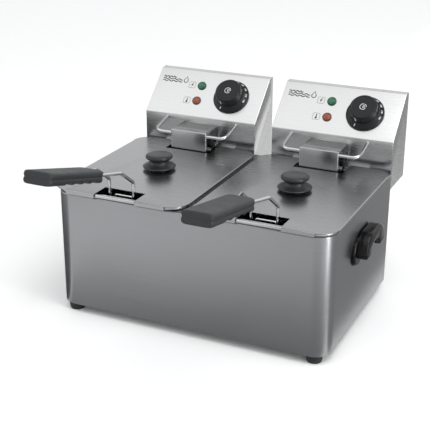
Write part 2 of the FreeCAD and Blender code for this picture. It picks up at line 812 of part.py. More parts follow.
def make_head_cover(side):
    """Folded cover with the slanted panel, and the lip that hooks it over the case."""
    rear, bottom, width = size("head_rear"), size("head_bottom"), size("head_width")
    body = new_body(f"head_cover_{side}")
    front, bend_z, ridge_y, top = head_profile(Size("0", 0))
    outside = new_sketch(body, "YZ_Plane", "cover_outside")
    polygon(outside, [(front, bottom), (front, bend_z), (ridge_y, top), (rear, top),
                      (rear, bottom)])
    pad(body, outside, width, "cover_block", both_ways=True)

    def is_bend(edge):
        box = edge.BoundBox
        return box.XLength > 10 and box.ZMin > bottom.value + 1 and box.YMax < rear.value - 1
    fillet(body, is_bend, 1.6, "cover_bends")
    front, bend_z, ridge_y, top = head_profile(SHEET)
    inside = new_sketch(body, "YZ_Plane", "cover_inside")
    polygon(inside, [(front, bottom - 5), (front, bend_z), (ridge_y, top), (rear + 5, top),
                     (rear + 5, bottom - 5)])
    pocket(body, inside, width - 2 * SHEET, "cover_hollow", both_ways=True)

    panel = body.newObject("Sketcher::SketchObject", "panel_holes")
    plane = [feature for feature in body.Origin.OriginFeatures if feature.Role == "XY_Plane"][0]
    panel.AttachmentSupport = [(plane, "")]
    panel.MapMode = "FlatFace"
    turn = FreeCAD.Rotation(FreeCAD.Vector(1, 0, 0), PANEL_ANGLE.value)
    panel.AttachmentOffset = FreeCAD.Placement(FreeCAD.Vector(), turn)
    panel.setExpression("AttachmentOffset.Base.y", size("head_front").text)
    panel.setExpression("AttachmentOffset.Base.z", size("panel_low").text)
    panel.setExpression("AttachmentOffset.Rotation.Angle", PANEL_ANGLE.text)
    circle(panel, (size("dial_across"), size("dial_up")), size("bush_r") + TOUCH)
    for place in ("lamp_power_up", "lamp_heat_up"):
        circle(panel, (size("lamp_across"), size(place)), size("lamp_body_r") + TOUCH)
    pocket(body, panel, 4, "panel_hole_cuts")

    shift = SIDES[side] * (size("tank_offset") - size("head_offset"))
    window = new_sketch(body, "XZ_Plane", "element_window", -size("head_front") - SHEET)
    leg_z = size("element_leg_z")
    rectangle(window, (shift - 24, leg_z - 7), (shift + 24, leg_z + 7))
    pocket(body, window, 4, "element_window_cut", reverse=True, both_ways=True)

    lip_low = size("case_top") + size("rim_lift")
    lip_top = lip_low + 1.2
    lip_y = size("deck_rear") - 3
    lip = new_sketch(body, "YZ_Plane", "hook_profile")
    polygon(lip, [(lip_y, lip_low - 12), (lip_y + 1.2, lip_low - 12), (lip_y + 1.2, lip_low),
                  (size("head_front") + SHEET / 2, lip_low),
                  (size("head_front") + SHEET / 2, lip_top), (lip_y, lip_top)])
    pad(body, lip, 2 * size("hook_half_width"), "hook_lip", both_ways=True)
    seat(body, SIDES[side] * size("head_offset"))


def make_head_back(side):
    """Back sheet of a head, with vents and holes for its fittings."""
    rear, bottom = size("head_rear"), size("head_bottom")
    _, _, _, top = head_profile(SHEET)
    half = size("head_width") / 2 - SHEET
    body = new_body(f"head_back_{side}")
    sheet = new_sketch(body, "XZ_Plane", "back_outline", -rear)
    rectangle(sheet, (-half, bottom), (half, top))
    pad(body, sheet, SHEET, "back_sheet")
    holes = new_sketch(body, "XZ_Plane", "back_holes", -rear)
    circle(holes, (size("gland_across"), size("gland_z")), size("gland_r") - 1 + TOUCH)
    circle(holes, (size("button_across"), size("button_z")), size("button_r") + 2 + TOUCH)
    for row in range(5):
        height = 226.0 + 8 * row
        for start in (-62, -18, 26):
            rectangle(holes, (start, height), (start + 36, height + 2.4))
    pocket(body, holes, 4, "back_hole_cuts", both_ways=True)
    seat(body, SIDES[side] * size("head_offset"))


def make_head_base(side):
    """Bottom sheet of a head, between its front and back sheets."""
    front, _, _, _ = head_profile(SHEET)
    rear, bottom = size("head_rear") - SHEET, size("head_bottom")
    half = size("head_width") / 2 - SHEET
    body = new_body(f"head_base_{side}")
    sheet = new_sketch(body, "XY_Plane", "base_outline", bottom)
    rectangle(sheet, (-half, front), (half, rear))
    pad(body, sheet, SHEET, "base_sheet")
    seat(body, SIDES[side] * size("head_offset"))


def make_element_cover(side):
    """Folded cover over the element's legs, which dips into the tank behind the basket."""
    half, front, top = size("cover_half_width"), size("cover_front"), size("cover_top")
    step_y, step_z, low = size("cover_step_y"), size("cover_step_z"), size("cover_low")
    rear = size("head_front")
    body = new_body(f"element_cover_{side}")
    outside = new_sketch(body, "YZ_Plane", "cover_profile")
    polygon(outside, [(front, low), (step_y, low), (step_y, step_z), (rear, step_z),
                      (rear, top), (front, top)])
    pad(body, outside, 2 * half, "cover_block", both_ways=True)

    def front_bend(edge):
        return lies_at(edge, "Z", top) and lies_at(edge, "Y", front)
    fillet(body, front_bend, 2, "cover_bend")
    inside = new_sketch(body, "YZ_Plane", "cover_hollow")
    polygon(inside, [(front + SHEET, low - 5), (step_y + 5, low - 5), (step_y + 5, step_z - 2),
                     (rear + 5, step_z - 2), (rear + 5, top - SHEET), (front + SHEET, top - SHEET)])
    pocket(body, inside, 2 * half - 2 * SHEET, "cover_hollow_cut", both_ways=True)
    holes = new_sketch(body, "YZ_Plane", "bar_holes")
    circle(holes, (size("bar_y"), size("bar_z") - 0.1), size("bar_r") + 0.3)
    pocket(body, holes, 2 * half + 4, "bar_hole_cuts", both_ways=True)
    seat(body, SIDES[side] * size("tank_offset"))


def make_cover_plug(side):
    """Round moulded cap on the element cover's right wall."""
    radius, reach = size("plug_r"), size("plug_reach")
    body = new_body(f"cover_plug_{side}")
    face = new_sketch(body, "YZ_Plane", "plug_face", size("cover_half_width"))
    circle(face, (size("plug_y"), size("plug_z")), radius)
    pad(body, face, reach, "plug_body")
    outer = size("cover_half_width") + reach
    fillet(body, lambda edge: lies_at(edge, "X", outer), 1.5, "plug_edge")
    seat(body, SIDES[side] * size("tank_offset"))


def make_drain_bar(side):
    """Bent wire in front of the head, on which a lifted basket hangs to drain."""
    half, y, z = size("bar_half_width"), size("bar_y"), size("bar_z")
    root_y, root_z = size("head_front"), size("bar_root_z")
    path = bent_path([point(-half, root_y, root_z), point(-half, y, z), point(half, y, z),
                      point(half, root_y, root_z)], 11)
    bar = round_bar(path, size("bar_r").value)
    trimmed = bar.common(Part.makeBox(300, 100, 100, point(-150, root_y - 100, 150)))
    seat(shape_feature(f"drain_bar_{side}", trimmed.Solids[0]),
         SIDES[side] * size("tank_offset"))


def make_element(side):
    """Tubular heater: two legs down behind the basket and a flat winding under it."""
    leg_x, leg_y, leg_z = size("element_leg_x"), size("element_leg_y"), size("element_leg_z")
    low = size("element_z")
    end_y, rear, front, far = 290, 212, 42, 66
    inner_x, middle_x, inner_rear = 13, 39.5, 186
    half = [point(leg_x, end_y, leg_z), point(leg_x, leg_y, leg_z), point(leg_x, leg_y, low),
            point(leg_x, rear, low), point(far, rear, low), point(far, front, low),
            point(middle_x, front, low), point(middle_x, inner_rear, low),
            point(inner_x, inner_rear, low), point(inner_x, front, low)]
    mirrored = [FreeCAD.Vector(-spot.x, spot.y, spot.z) for spot in reversed(half)]
    bar = round_bar(bent_path(half + mirrored, 10), size("element_r").value)
    seat(shape_feature(f"heating_element_{side}", bar), SIDES[side] * size("tank_offset"))


def make_sensor_bulbs(side):
    """Two sensor bulbs between the element's runs, on capillaries that rise to the head."""
    low, leg_y, leg_z = size("element_z"), size("element_leg_y"), size("element_leg_z")
    over = low + size("element_r") + 1.8
    solids = []
    for sign in SIDES.values():
        x = sign * 26.0
        bulb = Part.makeCylinder(size("bulb_r").value, 90, point(x, 78, low),
                                 FreeCAD.Vector(0, 1, 0))
        route = [point(x, 166, low), point(x, 174, over), point(x, 198, over),
                 point(sign * 22.5, 212, over), point(sign * 22.5, leg_y, over),
                 point(sign * 22.5, leg_y, leg_z), point(sign * 22.5, 275, leg_z)]
        capillary = round_bar(bent_path(route, 2.5), size("capillary_r").value)
        solids.append(bulb.fuse(capillary))
    seat(shape_feature(f"sensor_bulbs_{side}", Part.makeCompound(solids)),
         SIDES[side] * size("tank_offset"))


# ---------------------------------------------------------------- head fittings

def make_thermostat(side):
    """Thermostat behind the panel: its box and the bush that holds it in the panel."""
    body = new_body(f"thermostat_{side}")
    face = new_sketch(body, "XY_Plane", "thermostat_face", -30)
    rectangle(face, (-20, -15), (20, 15))
    pad(body, face, 22, "thermostat_box")
    bush = new_sketch(body, "XY_Plane", "thermostat_bush", -9)
    circle(bush, (0, 0), size("bush_r"))
    pad(body, bush, 9.4, "thermostat_neck")
    bore = new_sketch(body, "XY_Plane", "thermostat_bore", 0.4)
    circle(bore, (0, 0), size("shaft_r") + 0.05)
    pocket(body, bore, 22, "thermostat_bore_cut")
    seat_on_panel(body, side, size("dial_across"), size("dial_up"))


def make_thermostat_shaft(side):
    """Turning shaft of the thermostat."""
    shaft = document.addObject("Part::Cylinder", f"thermostat_shaft_{side}")
    shaft.Label = f"thermostat_shaft_{side}"
    shaft.setExpression("Radius", size("shaft_r").text)
    shaft.Height = 32
    depth = 19
    up = size("dial_up")
    x = SIDES[side] * size("head_offset") + size("dial_across")
    y = size("head_front") + up * PANEL_COS + depth * PANEL_SIN
    z = size("panel_low") + up * PANEL_SIN - depth * PANEL_COS
    seat_turned(shaft, x, y, z, FreeCAD.Vector(1, 0, 0), PANEL_ANGLE)


def make_dial(side):
    """Thermostat dial: a wide bevelled skirt under a tall round cap, with a bore below."""
    skirt, cap, height = size("dial_skirt_r"), size("dial_cap_r"), size("dial_height")
    bore = size("shaft_r") + TOUCH
    gap = 0.9
    body = new_body(f"dial_knob_{side}")
    profile = new_sketch(body, "XZ_Plane", "dial_profile")
    polygon(profile, [(bore, gap), (skirt, gap), (skirt, gap + 2.2), (skirt - 1, gap + 3),
                      (cap + 1.2, gap + 6.4), (cap, gap + 6.8), (cap - 0.8, height - 1.4),
                      (cap - 2.4, height), (0, height), (0, 13.2), (bore, 13.2)])
    revolve(body, profile, "dial_body")
    seat_on_panel(body, side, size("dial_across"), size("dial_up"))


def make_lamp(side, kind):
    """Indicator lamp: a round lens in front of the panel and its body behind it."""
    body = new_body(f"lamp_{kind}_{side}")
    profile = new_sketch(body, "XZ_Plane", "lamp_profile")
    lens, stem = size("lamp_r"), size("lamp_body_r")
    polygon(profile, [(0, -20), (stem, -20), (stem, 0.05), (lens, 0.05), (lens, 1.2),
                      (lens - 1, 2.6), (lens - 3, 3.5), (0, 3.9)])
    revolve(body, profile, "lamp_body")
    seat_on_panel(body, side, size("lamp_across"), size(f"lamp_{kind}_up"))


def make_high_limit(side):
    """Over-temperature cut-out on the head's back, with the bush its button slides in."""
    rear, bush = size("head_rear"), size("button_r") + 2
    body = new_body(f"high_limit_{side}")
    box = new_sketch(body, "XZ_Plane", "limit_box", -rear + SHEET + 0.5)
    x, z = size("button_across"), size("button_z")
    rectangle(box, (x - 16, z - 14), (x + 16, z + 14))
    pad(body, box, 24, "limit_case")
    neck = new_sketch(body, "XZ_Plane", "limit_neck", -rear - 2)
    circle(neck, (x, z), bush)
    pad(body, neck, 5, "limit_bush")
    bore = new_sketch(body, "XZ_Plane", "limit_bore", -rear - 2)
    circle(bore, (x, z), size("button_r") + 0.05)
    pocket(body, bore, 16, "limit_bore_cut", reverse=True)
    seat(body, SIDES[side] * size("head_offset"))


def make_reset_button(side):
    """Reset button: a plunger that stands out of the cut-out's bush."""
    plunger = document.addObject("Part::Cylinder", f"reset_button_{side}")
    plunger.Label = f"reset_button_{side}"
    plunger.setExpression("Radius", size("button_r").text)
    plunger.Height = 12
    plunger.Placement.Rotation = FreeCAD.Rotation(FreeCAD.Vector(1, 0, 0), -90)
    y = size("case_front_y") + size("head_rear") - 6
    seat(plunger, SIDES[side] * size("head_offset") + size("button_across"), y, size("button_z"))


def make_cable_gland(side):
    """Threaded gland through the head's back, where a mains lead would enter."""
    radius = size("gland_r")
    body = new_body(f"cable_gland_{side}")
    profile = new_sketch(body, "XZ_Plane", "gland_profile")
    polygon(profile, [(4, -8), (radius - 1, -8), (radius - 1, 0), (radius, 0), (radius, 5),
                      (radius - 1.5, 6), (radius - 2.5, 10), (4, 10)])
    revolve(body, profile, "gland_body")
    x = SIDES[side] * size("head_offset") + size("gland_across")
    turn = Size("-90", -90)
    seat_turned(body, x, size("head_rear"), size("gland_z"), FreeCAD.Vector(1, 0, 0), turn)


def make_terminal_block(side):
    """Screw terminals on the head's bottom."""
    body = new_body(f"terminal_block_{side}")
    low = size("head_bottom") + SHEET
    block = new_sketch(body, "XY_Plane", "block_base", low)
    rectangle(block, (-6, 296), (46, 314))
    pad(body, block, 14, "block_body")
    wells = new_sketch(body, "XY_Plane", "block_wells", low + 14)
    for column in range(4):
        circle(wells, (1.5 + 12.3 * column, 305), 3)
    pocket(body, wells, 9, "block_well_cuts")
    seat(body, SIDES[side] * size("head_offset"))


# ---------------------------------------------------------------- assembly

def make_unit(side):
    """Everything that belongs to one tank."""
    wire_shape = handle_wire_shape(side)
    make_tank(side)
    make_lid(side)
    make_lid_knob(side)
    make_lid_screw(side)
    make_basket_mesh(side)
    make_basket_frame(side)
    make_handle_wire(side, wire_shape)
    make_grip_half(side, True, wire_shape)
    make_grip_half(side, False, wire_shape)
    make_head_cover(side)
    make_head_back(side)
    make_head_base(side)
    make_element_cover(side)
    make_cover_plug(side)
    make_drain_bar(side)
    make_element(side)
    make_sensor_bulbs(side)
    make_thermostat(side)
    make_thermostat_shaft(side)
    make_dial(side)
    make_lamp(side, "power")
    make_lamp(side, "heat")
    make_high_limit(side)
    make_reset_button(side)
    make_cable_gland(side)
    make_terminal_block(side)


def check_and_export():
    """Stop at any failed object or bad shape; otherwise write one file for each sub-part."""
    document.recompute()
    for made in document.Objects:
        if "Invalid" in made.State or "Error" in made.State:
            raise RuntimeError(f"{made.Name} failed: {made.State}")
    for label, made in nodes.items():
        if made.Shape.isNull() or not made.Shape.isValid() or not made.Shape.Solids:
            raise RuntimeError(f"{label} has no valid shape")
    os.makedirs("parts", exist_ok=True)
    for label, made in nodes.items():
        made.Shape.exportStep(f"parts/{label}.step")


make_case_wrap()
make_top_deck()
make_rear_panel()
make_base_plate()
make_feet()
make_handle_screws()
for each_side in SIDES:
    make_side_handle(each_side)
    make_unit(each_side)
check_and_export()
whole = FreeCAD.BoundBox()
for each_node in nodes.values():
    whole.add(each_node.Shape.BoundBox)
print(f"{len(nodes)} sub-parts, {whole.XLength:.1f} x {whole.YLength:.1f} x {whole.ZLength:.1f} mm")
print(f"middle of the outline: {whole.Center.x:.3f}, {whole.Center.y:.3f}")
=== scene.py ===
import json
import math

import bmesh
import bpy
from mathutils import Matrix, Vector


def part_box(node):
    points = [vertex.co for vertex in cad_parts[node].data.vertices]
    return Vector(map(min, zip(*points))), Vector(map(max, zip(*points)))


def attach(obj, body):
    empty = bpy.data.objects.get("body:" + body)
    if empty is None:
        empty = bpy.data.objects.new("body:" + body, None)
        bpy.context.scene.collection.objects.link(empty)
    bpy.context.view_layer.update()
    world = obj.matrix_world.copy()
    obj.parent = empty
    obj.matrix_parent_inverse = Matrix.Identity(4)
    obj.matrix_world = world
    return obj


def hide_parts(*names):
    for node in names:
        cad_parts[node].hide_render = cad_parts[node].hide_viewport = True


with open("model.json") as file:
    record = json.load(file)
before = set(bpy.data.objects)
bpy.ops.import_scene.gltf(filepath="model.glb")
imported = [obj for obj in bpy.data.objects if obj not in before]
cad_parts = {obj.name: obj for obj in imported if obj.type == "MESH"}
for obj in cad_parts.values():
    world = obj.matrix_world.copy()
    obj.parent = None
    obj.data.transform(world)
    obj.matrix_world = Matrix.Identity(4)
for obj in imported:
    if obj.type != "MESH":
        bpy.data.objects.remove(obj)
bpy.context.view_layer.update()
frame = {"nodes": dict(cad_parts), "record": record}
scene = bpy.context.scene

MM = 0.001
SHEET = 1.0
SIDES = {"left": -1, "right": 1}


def middle(node):
    low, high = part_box(node)
    return (low + high) / 2


# Places below are in millimetres in the frame that each piece is drawn in: x from the middle of
# its tank or head, y from the case's front wall, z from the floor.
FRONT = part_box("case_wrap")[0].y
TANK_X = {side: middle(f"lid_{side}").x / MM for side in SIDES}
HEAD_X = {side: middle(f"head_cover_{side}").x / MM for side in SIDES}


def extent(node, centre_x=0.0):
    """Lowest and highest corner of a CAD node in that frame."""
    low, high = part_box(node)
    shift = Vector((centre_x, FRONT / MM, 0))
    return low / MM - shift, high / MM - shift


# -------- materials

NOISE_RANGE = (0.3, 0.7)


def fill(node, values):
    """Give a node's inputs their values. A value that is a socket is linked instead."""
    for name, value in values.items():
        if isinstance(value, bpy.types.NodeSocket):
            node.id_data.links.new(value, node.inputs[name])
        else:
            node.inputs[name].default_value = value


def add_node(tree, kind, values):
    node = tree.nodes.new(f"ShaderNode{kind}")
    fill(node, values)
    return node


def node_material(name):
    """A new material, its node tree and its main shader."""
    material = bpy.data.materials.new(name)
    material.use_nodes = True
    return material, material.node_tree, material.node_tree.nodes["Principled BSDF"]


def object_place(tree, scale):
    """Object coordinates stretched by a scale in cycles per metre along each axis."""
    where = add_node(tree, "TexCoord", {})
    return add_node(tree, "Mapping", {"Scale": scale,
                                      "Vector": where.outputs["Object"]}).outputs["Vector"]


def noise(tree, scale, detail=2.0):
    """Noise with a scale in cycles per metre along each axis."""
    return add_node(tree, "TexNoise", {"Scale": 1.0, "Detail": detail,
                                       "Vector": object_place(tree, scale)}).outputs["Fac"]


def mapped(tree, value, source, target):
    """A value carried over from a source range to a target range."""
    ends = {"From Min": source[0], "From Max": source[1], "To Min": target[0], "To Max": target[1]}
    return add_node(tree, "MapRange", {"Value": value, **ends}).outputs["Result"]


def reckoned(tree, operation, *terms):
    node = tree.nodes.new("ShaderNodeMath")
    node.operation = operation
    fill(node, dict(enumerate(terms)))
    return node.outputs[0]


def tinted(tree, pattern, dark, light):
    """A colour that goes from dark to light as the noise rises."""
    mix = tree.nodes.new("ShaderNodeMix")
    mix.data_type = "RGBA"
    fill(mix, {"A": (*dark, 1), "B": (*light, 1), "Factor": pattern})
    return mix.outputs["Result"]


def bump(tree, height, strength, distance):
    return add_node(tree, "Bump", {"Strength": strength, "Distance": distance,
                                   "Height": height}).outputs["Normal"]


def shade(colour, factor):
    return tuple(min(1.0, channel * factor) for channel in colour)


def brushed_steel(name, colour, roughness, brush, stretch=0.0, strength=0.12):
    """Brushed stainless steel. brush is cycles per metre along X, Y and Z: low along the grain."""
    material, tree, bsdf = node_material(name)
    grain = noise(tree, brush, 3.0)
    cloud = reckoned(tree, "MULTIPLY", noise(tree, (9, 9, 9)), 0.4)
    blend = reckoned(tree, "MULTIPLY_ADD", grain, 0.6, cloud)
    factor = mapped(tree, blend, NOISE_RANGE, (0, 1))
    direction = tree.nodes.new("ShaderNodeTangent")
    direction.direction_type, direction.axis = "RADIAL", "Z"
    fill(bsdf, {
        "Base Color": tinted(tree, factor, shade(colour, 0.95), shade(colour, 1.05)),
        "Roughness": mapped(tree, blend, NOISE_RANGE, (roughness - 0.05, roughness + 0.05)),
        "Normal": bump(tree, grain, strength, 0.00004), "Metallic": 1.0, "Anisotropic": stretch,
        "Anisotropic Rotation": 0.25, "Tangent": direction.outputs["Tangent"]})
    return material


def polished_metal(name, colour, roughness):
    """Plated or drawn bright metal, with faint smears that change its gloss."""
    material, tree, bsdf = node_material(name)
    smear = noise(tree, (25, 25, 60), 1.0)
    factor = mapped(tree, smear, NOISE_RANGE, (0, 1))
    fill(bsdf, {
        "Base Color": tinted(tree, factor, shade(colour, 0.97), colour),
        "Roughness": mapped(tree, smear, NOISE_RANGE, (roughness * 0.9, roughness * 1.1)),
        "Normal": bump(tree, smear, 0.02, 0.0001), "Metallic": 1.0})
    return material


def moulded_plastic(name, colour, roughness, grain=1800.0, strength=0.25, specular=0.5):
    """Moulded plastic with a fine sparked texture and slightly uneven gloss."""
    material, tree, bsdf = node_material(name)
    cloud = noise(tree, (40, 40, 40))
    factor = mapped(tree, cloud, NOISE_RANGE, (0, 1))
    fill(bsdf, {
        "Base Color": tinted(tree, factor, shade(colour, 0.85), shade(colour, 1.15)),
        "Roughness": mapped(tree, cloud, NOISE_RANGE, (roughness - 0.06, roughness + 0.06)),
        "Normal": bump(tree, noise(tree, (grain, grain, grain)), strength, 0.00005),
        "Specular IOR Level": specular})
    return material


def lens_plastic(name, colour, glow):
    """Clear coloured lamp lens with a moulded prism pattern; each prism cell carries a painted
    glint, its colour and glow brighter at its middle and darker at its edges.
    """
    material, tree, bsdf = node_material(name)
    prisms = add_node(tree, "TexVoronoi", {"Scale": 620.0, "Vector": object_place(tree, (1, 1, 1))})
    distance = prisms.outputs["Distance"]
    factor = mapped(tree, distance, (0, 0.8), (0, 1))
    # painted glints: colour and glow brighter in each prism cell's middle, darker at its edges
    prism_glint_colours = tinted(tree, factor, shade(colour, 1.7), shade(colour, 0.7))
    fill(bsdf, {"Base Color": prism_glint_colours, "Emission Color": prism_glint_colours, "Emission Strength": glow,
                "Roughness": 0.12, "Coat Weight": 0.3, "Normal": bump(tree, distance, 0.4, 0.0004)})
    return material


def ink(name, colour):
    """Screen-printed ink, a little uneven."""
    material, tree, bsdf = node_material(name)
    patch = noise(tree, (900, 900, 900))
    factor = mapped(tree, patch, NOISE_RANGE, (0, 1))
    fill(bsdf, {"Base Color": tinted(tree, factor, shade(colour, 0.85), colour),
                "Roughness": mapped(tree, patch, NOISE_RANGE, (0.45, 0.6))})
    return material


GRAIN_X, GRAIN_XY, GRAIN_Z = (7, 900, 900), (7, 7, 900), (900, 900, 7)
SLOT_MATERIALS = {
    "case_steel": brushed_steel("case_steel", (0.335, 0.34, 0.35), 0.32, GRAIN_XY, stretch=0.5),
    "panel_steel": brushed_steel("head_steel", (0.60, 0.60, 0.60), 0.28, GRAIN_X),
    "lid_steel": brushed_steel("lid_steel", (0.36, 0.365, 0.37), 0.28, GRAIN_X, strength=0.05),
    "tank_steel": polished_metal("tank_steel", (0.52, 0.53, 0.54), 0.24),
    "element_steel": polished_metal("element_steel", (0.33, 0.31, 0.29), 0.35),
    "screw_steel": polished_metal("screw_steel", (0.62, 0.62, 0.62), 0.28),
    "chrome_wire": polished_metal("chrome", (0.60, 0.61, 0.62), 0.07),
    "basket_wire": polished_metal("basket_wire", (0.74, 0.74, 0.75), 0.32),
    "black_bakelite": moulded_plastic("bakelite", (0.003, 0.003, 0.0035), 0.18, strength=0.05,
                                      specular=0.25),
    "dial_black": moulded_plastic("dial_black", (0.008, 0.009, 0.011), 0.30, strength=0.12,
                                  specular=0.25),
    "grip_grey": moulded_plastic("grip_grey", (0.022, 0.024, 0.026), 0.5, specular=0.35),
    "foot_rubber": moulded_plastic("rubber", (0.012, 0.012, 0.012), 0.7, grain=900.0),
    "green_lens": lens_plastic("green_lens", (0.003, 0.10, 0.048), 0.04),
    "orange_lens": lens_plastic("orange_lens", (0.21, 0.038, 0.013), 0.04),
    "inner_plastic": moulded_plastic("inner_plastic", (0.66, 0.64, 0.58), 0.5),
    "reset_red": moulded_plastic("reset_red", (0.5, 0.03, 0.02), 0.35, strength=0.1),
}
KNOB_BLACK = moulded_plastic("knob_black", (0.016, 0.0175, 0.019), 0.34, specular=0.4)
GUARD_STEEL = brushed_steel("guard_steel", (0.44, 0.44, 0.445), 0.24, GRAIN_Z)
# The collars are real parts; their tints are darker copies of the lens colours, painted shade for
# the lenses' dark rims.
LAMP_SHADED_COLLAR = {"power": moulded_plastic("collar_green", (0.004, 0.05, 0.025), 0.3, strength=0.05),
             "heat": moulded_plastic("collar_brown", (0.10, 0.03, 0.015), 0.3, strength=0.05)}
BLACK_INK = ink("black_ink", (0.015, 0.015, 0.015))
WHITE_INK = ink("white_ink", (0.80, 0.82, 0.82))

node_slot = {entry["node"]: entry["material_slot"] for entry in frame["record"]["subparts"]}
for node, cad_object in frame["nodes"].items():
    cad_object.data.materials.clear()
    cad_object.data.materials.append(SLOT_MATERIALS[node_slot[node]])


# -------- mesh helpers

def finish_piece(name, bm, body, slot, centre_x=0.0, material=None, smooth=35.0, matrix=None,
                 open_sheet=False):
    """Turn a mesh drawn in millimetres into a piece of the scene that rides on a body.

    It has its slot's material unless it is given another.
    """
    if matrix is not None:
        bm.transform(matrix)
    bmesh.ops.recalc_face_normals(bm, faces=bm.faces)
    if open_sheet:
        face_out(bm)
    bm.transform(Matrix.Scale(MM, 4))
    mesh = bpy.data.meshes.new(name)
    bm.to_mesh(mesh)
    bm.free()
    mesh.shade_smooth()
    mesh.set_sharp_from_angle(angle=math.radians(smooth))
    mesh.materials.append(material or SLOT_MATERIALS[slot])
    piece = bpy.data.objects.new(name, mesh)
    piece.location = (centre_x * MM, FRONT, 0)
    scene.collection.objects.link(piece)
    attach(piece, body)
    return piece


def merge(bm, other, matrix=None):
    """Move another mesh's faces into this one."""
    if matrix is not None:
        other.transform(matrix)
    carrier = bpy.data.meshes.new("carrier")
    other.to_mesh(carrier)
    other.free()
    bm.from_mesh(carrier)
    bpy.data.meshes.remove(carrier)


def face_out(bm):
    """Make an open sheet's faces look away from its middle."""
    middle_spot = sum((vertex.co for vertex in bm.verts), Vector()) / len(bm.verts)
    total = sum(face.calc_area() * face.normal.dot(face.calc_center_median() - middle_spot)
                for face in bm.faces)
    if total < 0:
        bmesh.ops.reverse_faces(bm, faces=bm.faces)


def inset_outline(outline, inset):
    """A closed outline moved inwards, point by point along the mean of its two normals."""
    count = len(outline)
    points = [Vector(spot) for spot in outline]
    area = sum(a.x * b.y - b.x * a.y for a, b in zip(points, points[1:] + points[:1]))
    way = 1 if area > 0 else -1
    moved = []
    for index, spot in enumerate(points):
        before, after = spot - points[index - 1], points[(index + 1) % count] - spot
        first = Vector((-before.y, before.x)).normalized() * way
        second = Vector((-after.y, after.x)).normalized() * way
        mean = (first + second).normalized()
        moved.append(spot + mean * inset / max(0.5, mean.dot(first)))
    return [tuple(spot) for spot in moved]


def add_bevel(piece, width, angle=30.0):
    modifier = piece.modifiers.new("edges", "BEVEL")
    modifier.width = width * MM
    modifier.segments = 2
    modifier.limit_method = "ANGLE"
    modifier.angle_limit = math.radians(angle)
    modifier.harden_normals = True


def add_thickness(piece):
    modifier = piece.modifiers.new("sheet", "SOLIDIFY")
    modifier.thickness = SHEET * MM
    modifier.offset = -1.0


def arc(centre, radius, start, end, steps):
    """Points of a flat arc, angles in degrees."""
    turn = [math.radians(start + (end - start) * step / steps) for step in range(steps + 1)]
    return [(centre[0] + radius * math.cos(angle), centre[1] + radius * math.sin(angle))
            for angle in turn]


def rounded_outline(low, high, radius, steps):
    """Points of a rounded rectangle, counter-clockwise from its lower left corner's end."""
    (x0, y0), (x1, y1) = low, high
    corners = [((x1 - radius, y0 + radius), -90), ((x1 - radius, y1 - radius), 0),
               ((x0 + radius, y1 - radius), 90), ((x0 + radius, y0 + radius), 180)]
    outline = []
    for centre, start in corners:
        outline += arc(centre, radius, start, start + 90, steps)
    return outline


def bridge(bm, rows, closed=False):
    """Quads between neighbouring rows of vertices; closed joins each row's ends."""
    for first, second in zip(rows, rows[1:]):
        count = len(first)
        for index in range(count if closed else count - 1):
            following = (index + 1) % count
            bm.faces.new((first[index], first[following], second[following], second[index]))


def lathe(profile, segments):
    """Turn a profile of (radius, height) points about the z axis.

    Radius 0 closes an end, and a profile that ends where it starts makes a ring.
    """
    bm = bmesh.new()
    rows = []
    for radius, height in profile:
        if radius < 1e-6:
            rows.append([bm.verts.new((0, 0, height))])
            continue
        row = []
        for index in range(segments):
            angle = 2 * math.pi * index / segments
            row.append(bm.verts.new((radius * math.cos(angle), radius * math.sin(angle), height)))
        rows.append(row)
    for first, second in zip(rows, rows[1:]):
        for index in range(segments):
            corners = [first[index % len(first)], first[(index + 1) % len(first)],
                       second[(index + 1) % len(second)], second[index % len(second)]]
            bm.faces.new(list(dict.fromkeys(corners)))
    if profile[0] == profile[-1]:
        bmesh.ops.remove_doubles(bm, verts=bm.verts, dist=1e-4)
    return bm


def softened(profile, radius, steps=4):
    """A profile whose inner points are rounded, each by at most 0.45 of its shorter side."""
    points = [Vector(spot) for spot in profile]
    out = [profile[0]]
    for before, corner, after in zip(points, points[1:], points[2:]):
        reach = min(radius, 0.45 * (before - corner).length, 0.45 * (after - corner).length)
        start = corner + (before - corner).normalized() * reach
        end = corner + (after - corner).normalized() * reach
        for step in range(steps + 1):
            t = step / steps
            out.append(tuple(start * (1 - t) ** 2 + corner * 2 * t * (1 - t) + end * t * t))
    out.append(profile[-1])
    return out


def bent_route(points, bend, steps=6):
    """Straight runs through the points, joined by arcs of radius bend, as a list of points."""
    route = [Vector(points[0])]
    for before, corner, after in zip(points, points[1:], points[2:]):
        corner = Vector(corner)
        inward = (Vector(before) - corner).normalized()
        outward = (Vector(after) - corner).normalized()
        half = inward.angle(outward) / 2
        towards_centre = (inward + outward).normalized()
        centre = corner + towards_centre * (bend / math.sin(half))
        start = corner + inward * (bend / math.tan(half)) - centre
        end = corner + outward * (bend / math.tan(half)) - centre
        for step in range(steps + 1):
            turned = start.normalized().slerp(end.normalized(), step / steps)
            route.append(centre + turned * bend)
    route.append(Vector(points[-1]))
    return route


def tube(bm, route, radius, sides, closed=False):
    """Round bar along a list of points, with flat ends unless it is closed."""
    count = len(route)
    tangents = []
    for index in range(count):
        before = route[index - 1] if closed or index > 0 else route[index]
        after = route[(index + 1) % count] if closed or index < count - 1 else route[index]
        tangents.append((Vector(after) - Vector(before)).normalized())
    across = tangents[0].orthogonal().normalized()
    rows = []
    for spot, tangent in zip(route, tangents):
        across = (across - tangent * across.dot(tangent)).normalized()
        other = tangent.cross(across)
        row = []
        for side in range(sides):
            angle = 2 * math.pi * side / sides
            offset = across * math.cos(angle) + other * math.sin(angle)
            row.append(bm.verts.new(Vector(spot) + offset * radius))
        rows.append(row)
    bridge(bm, rows, closed=True)
    if closed:
        last, first = rows[-1], rows[0]
        shift = min(range(sides), key=lambda s: (last[0].co - first[s].co).length)
        for side in range(sides):
            following = (side + 1) % sides
            bm.faces.new((last[side], last[following], first[(following + shift) % sides],
                          first[(side + shift) % sides]))
    else:
        bm.faces.new(rows[0][::-1])
        bm.faces.new(rows[-1])


